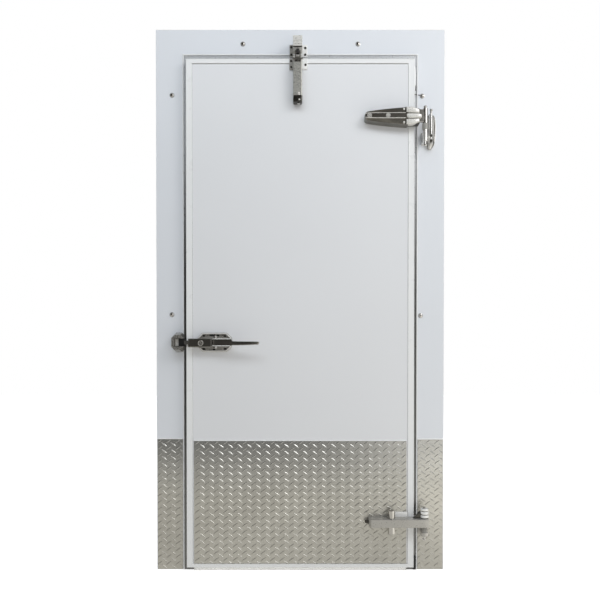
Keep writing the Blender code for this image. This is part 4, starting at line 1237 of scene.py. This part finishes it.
# ------------------------------------------------------------------ world
# (position, colour) of the reflected studio, from -X to +X and from below to above
ACROSS = ((0.0, (0.35, 0.34, 0.32)), (0.30, (0.12, 0.116, 0.108)), (0.44, (0.12, 0.116, 0.108)),
          (0.51, (0.22, 0.214, 0.200)), (0.575, (0.38, 0.372, 0.355)),
          (0.625, (0.95, 0.94, 0.92)), (1.0, (1.30, 1.30, 1.30)))
UPWARD = ((0.0, (1.0, 1.0, 1.0)), (0.36, (0.9, 0.9, 0.9)), (0.50, (0.60, 0.60, 0.60)),
          (0.72, (0.42, 0.42, 0.42)), (0.90, (0.55, 0.55, 0.55)), (1.0, (1.5, 1.5, 1.5)))


def color_ramp(value, stops):
    """Colour a direction component, -1 to 1, by the stops."""
    ramp = node(value.id_data, "ValToRGB", {"Fac": remap(value, to=(0, 1), span=(-1.0, 1.0))})
    elements = ramp.color_ramp.elements
    while len(elements) < len(stops):
        elements.new(0.5)
    for element, (position, color) in zip(elements, stops):
        element.position = position
        element.color = (*color, 1)
    return ramp.outputs["Color"]


def build_world():
    """White to the camera, soft blue to diffuse rays, a graded studio to glossy rays."""
    world = bpy.data.worlds.new("studio")
    scene.world = world
    world.use_nodes = True
    tree = world.node_tree
    tree.nodes.clear()

    def background(color, strength=1.0):
        return node(tree, "Background", {"Color": color, "Strength": strength}).outputs[0]

    direction = node(tree, "TexCoord").outputs["Generated"]
    parts = node(tree, "SeparateXYZ", {0: direction}).outputs
    studio = node(tree, "Mix", data_type='RGBA', blend_type='MULTIPLY')
    set_inputs(studio, {"Factor": 1.0, "A": color_ramp(parts["X"], ACROSS),
                        "B": color_ramp(parts["Z"], UPWARD)})
    rays = node(tree, "LightPath").outputs
    unseen = node(tree, "MixShader", {0: rays["Is Glossy Ray"],
                                      1: background((0.92, 0.96, 1.0), 0.36),
                                      2: background(studio.outputs["Result"])})
    final = node(tree, "MixShader", {0: rays["Is Camera Ray"], 1: unseen.outputs[0],
                                     2: background((1, 1, 1))})
    node(tree, "OutputWorld", {0: final.outputs[0]})


build_world()


# ------------------------------------------------------------------ lights and camera
def area_light(name, place, target, size, power, color=(1, 1, 1), glossy=True):
    light = bpy.data.lights.new(name, 'AREA')
    light.shape = 'RECTANGLE'
    light.size, light.size_y = size
    light.energy = power
    light.color = color
    obj = bpy.data.objects.new(name, light)
    scene.collection.objects.link(obj)
    obj.location = place
    aim = Vector(target) - Vector(place)
    obj.rotation_euler = aim.to_track_quat('-Z', 'Y').to_euler()
    obj.visible_glossy = glossy


area_light("key_softbox", place=(1.9, -1.9, 2.9), target=(0.0, 0.0, 1.2), size=(1.3, 1.3),
           power=25)
area_light("fill_softbox", place=(-2.9, -1.7, 1.5), target=(0.0, 0.0, 0.8), size=(1.4, 2.2),
           power=3.6, color=(1.0, 0.99, 0.97), glossy=False)
area_light("low_fill", place=(0.3, -3.0, 0.7), target=(0.1, 0.0, 0.6), size=(1.6, 0.8),
           power=6.6, color=(1.0, 0.985, 0.95), glossy=False)
area_light("top_softbox", place=(-0.5, -2.3, 3.3), target=(-0.2, 0.0, 1.7), size=(2.8, 0.9),
           power=26.5, color=(0.88, 0.95, 1.0), glossy=False)
area_light("rim_back", place=(1.5, 2.6, 2.6), target=(0.0, 0.0, 1.2), size=(1.5, 1.5),
           power=40)
area_light("fill_back", place=(-2.0, 2.6, 1.6), target=(0.0, 0.0, 1.0), size=(1.8, 1.8),
           power=30)

CAMERA_PLACE = (-0.0009, -2.5, 0.931)
CAMERA_TILT = 0.0118573       # radians below level
lens = bpy.data.cameras.new("camera")
lens.sensor_width = 36.0
lens.lens = 36.891
lens.shift_y = 0.080945
lens.clip_start = 0.05
camera = bpy.data.objects.new("camera", lens)
scene.collection.objects.link(camera)
camera.location = CAMERA_PLACE
camera.rotation_euler = (math.pi / 2 - CAMERA_TILT, 0, 0)
scene.camera = camera

scene.view_settings.view_transform = 'Standard'
scene.view_settings.look = 'None'
scene.view_settings.exposure = 0.0

# Flat faces stay flat to the light and only the rounded edges turn it
for obj in scene.objects:
    if obj.type == 'MESH' and obj.name not in frame["nodes"] and obj != floor:
        weighted = obj.modifiers.new("weighted_normal", 'WEIGHTED_NORMAL')
        weighted.mode = 'FACE_AREA'
        weighted.weight = 80
        weighted.keep_sharp = True
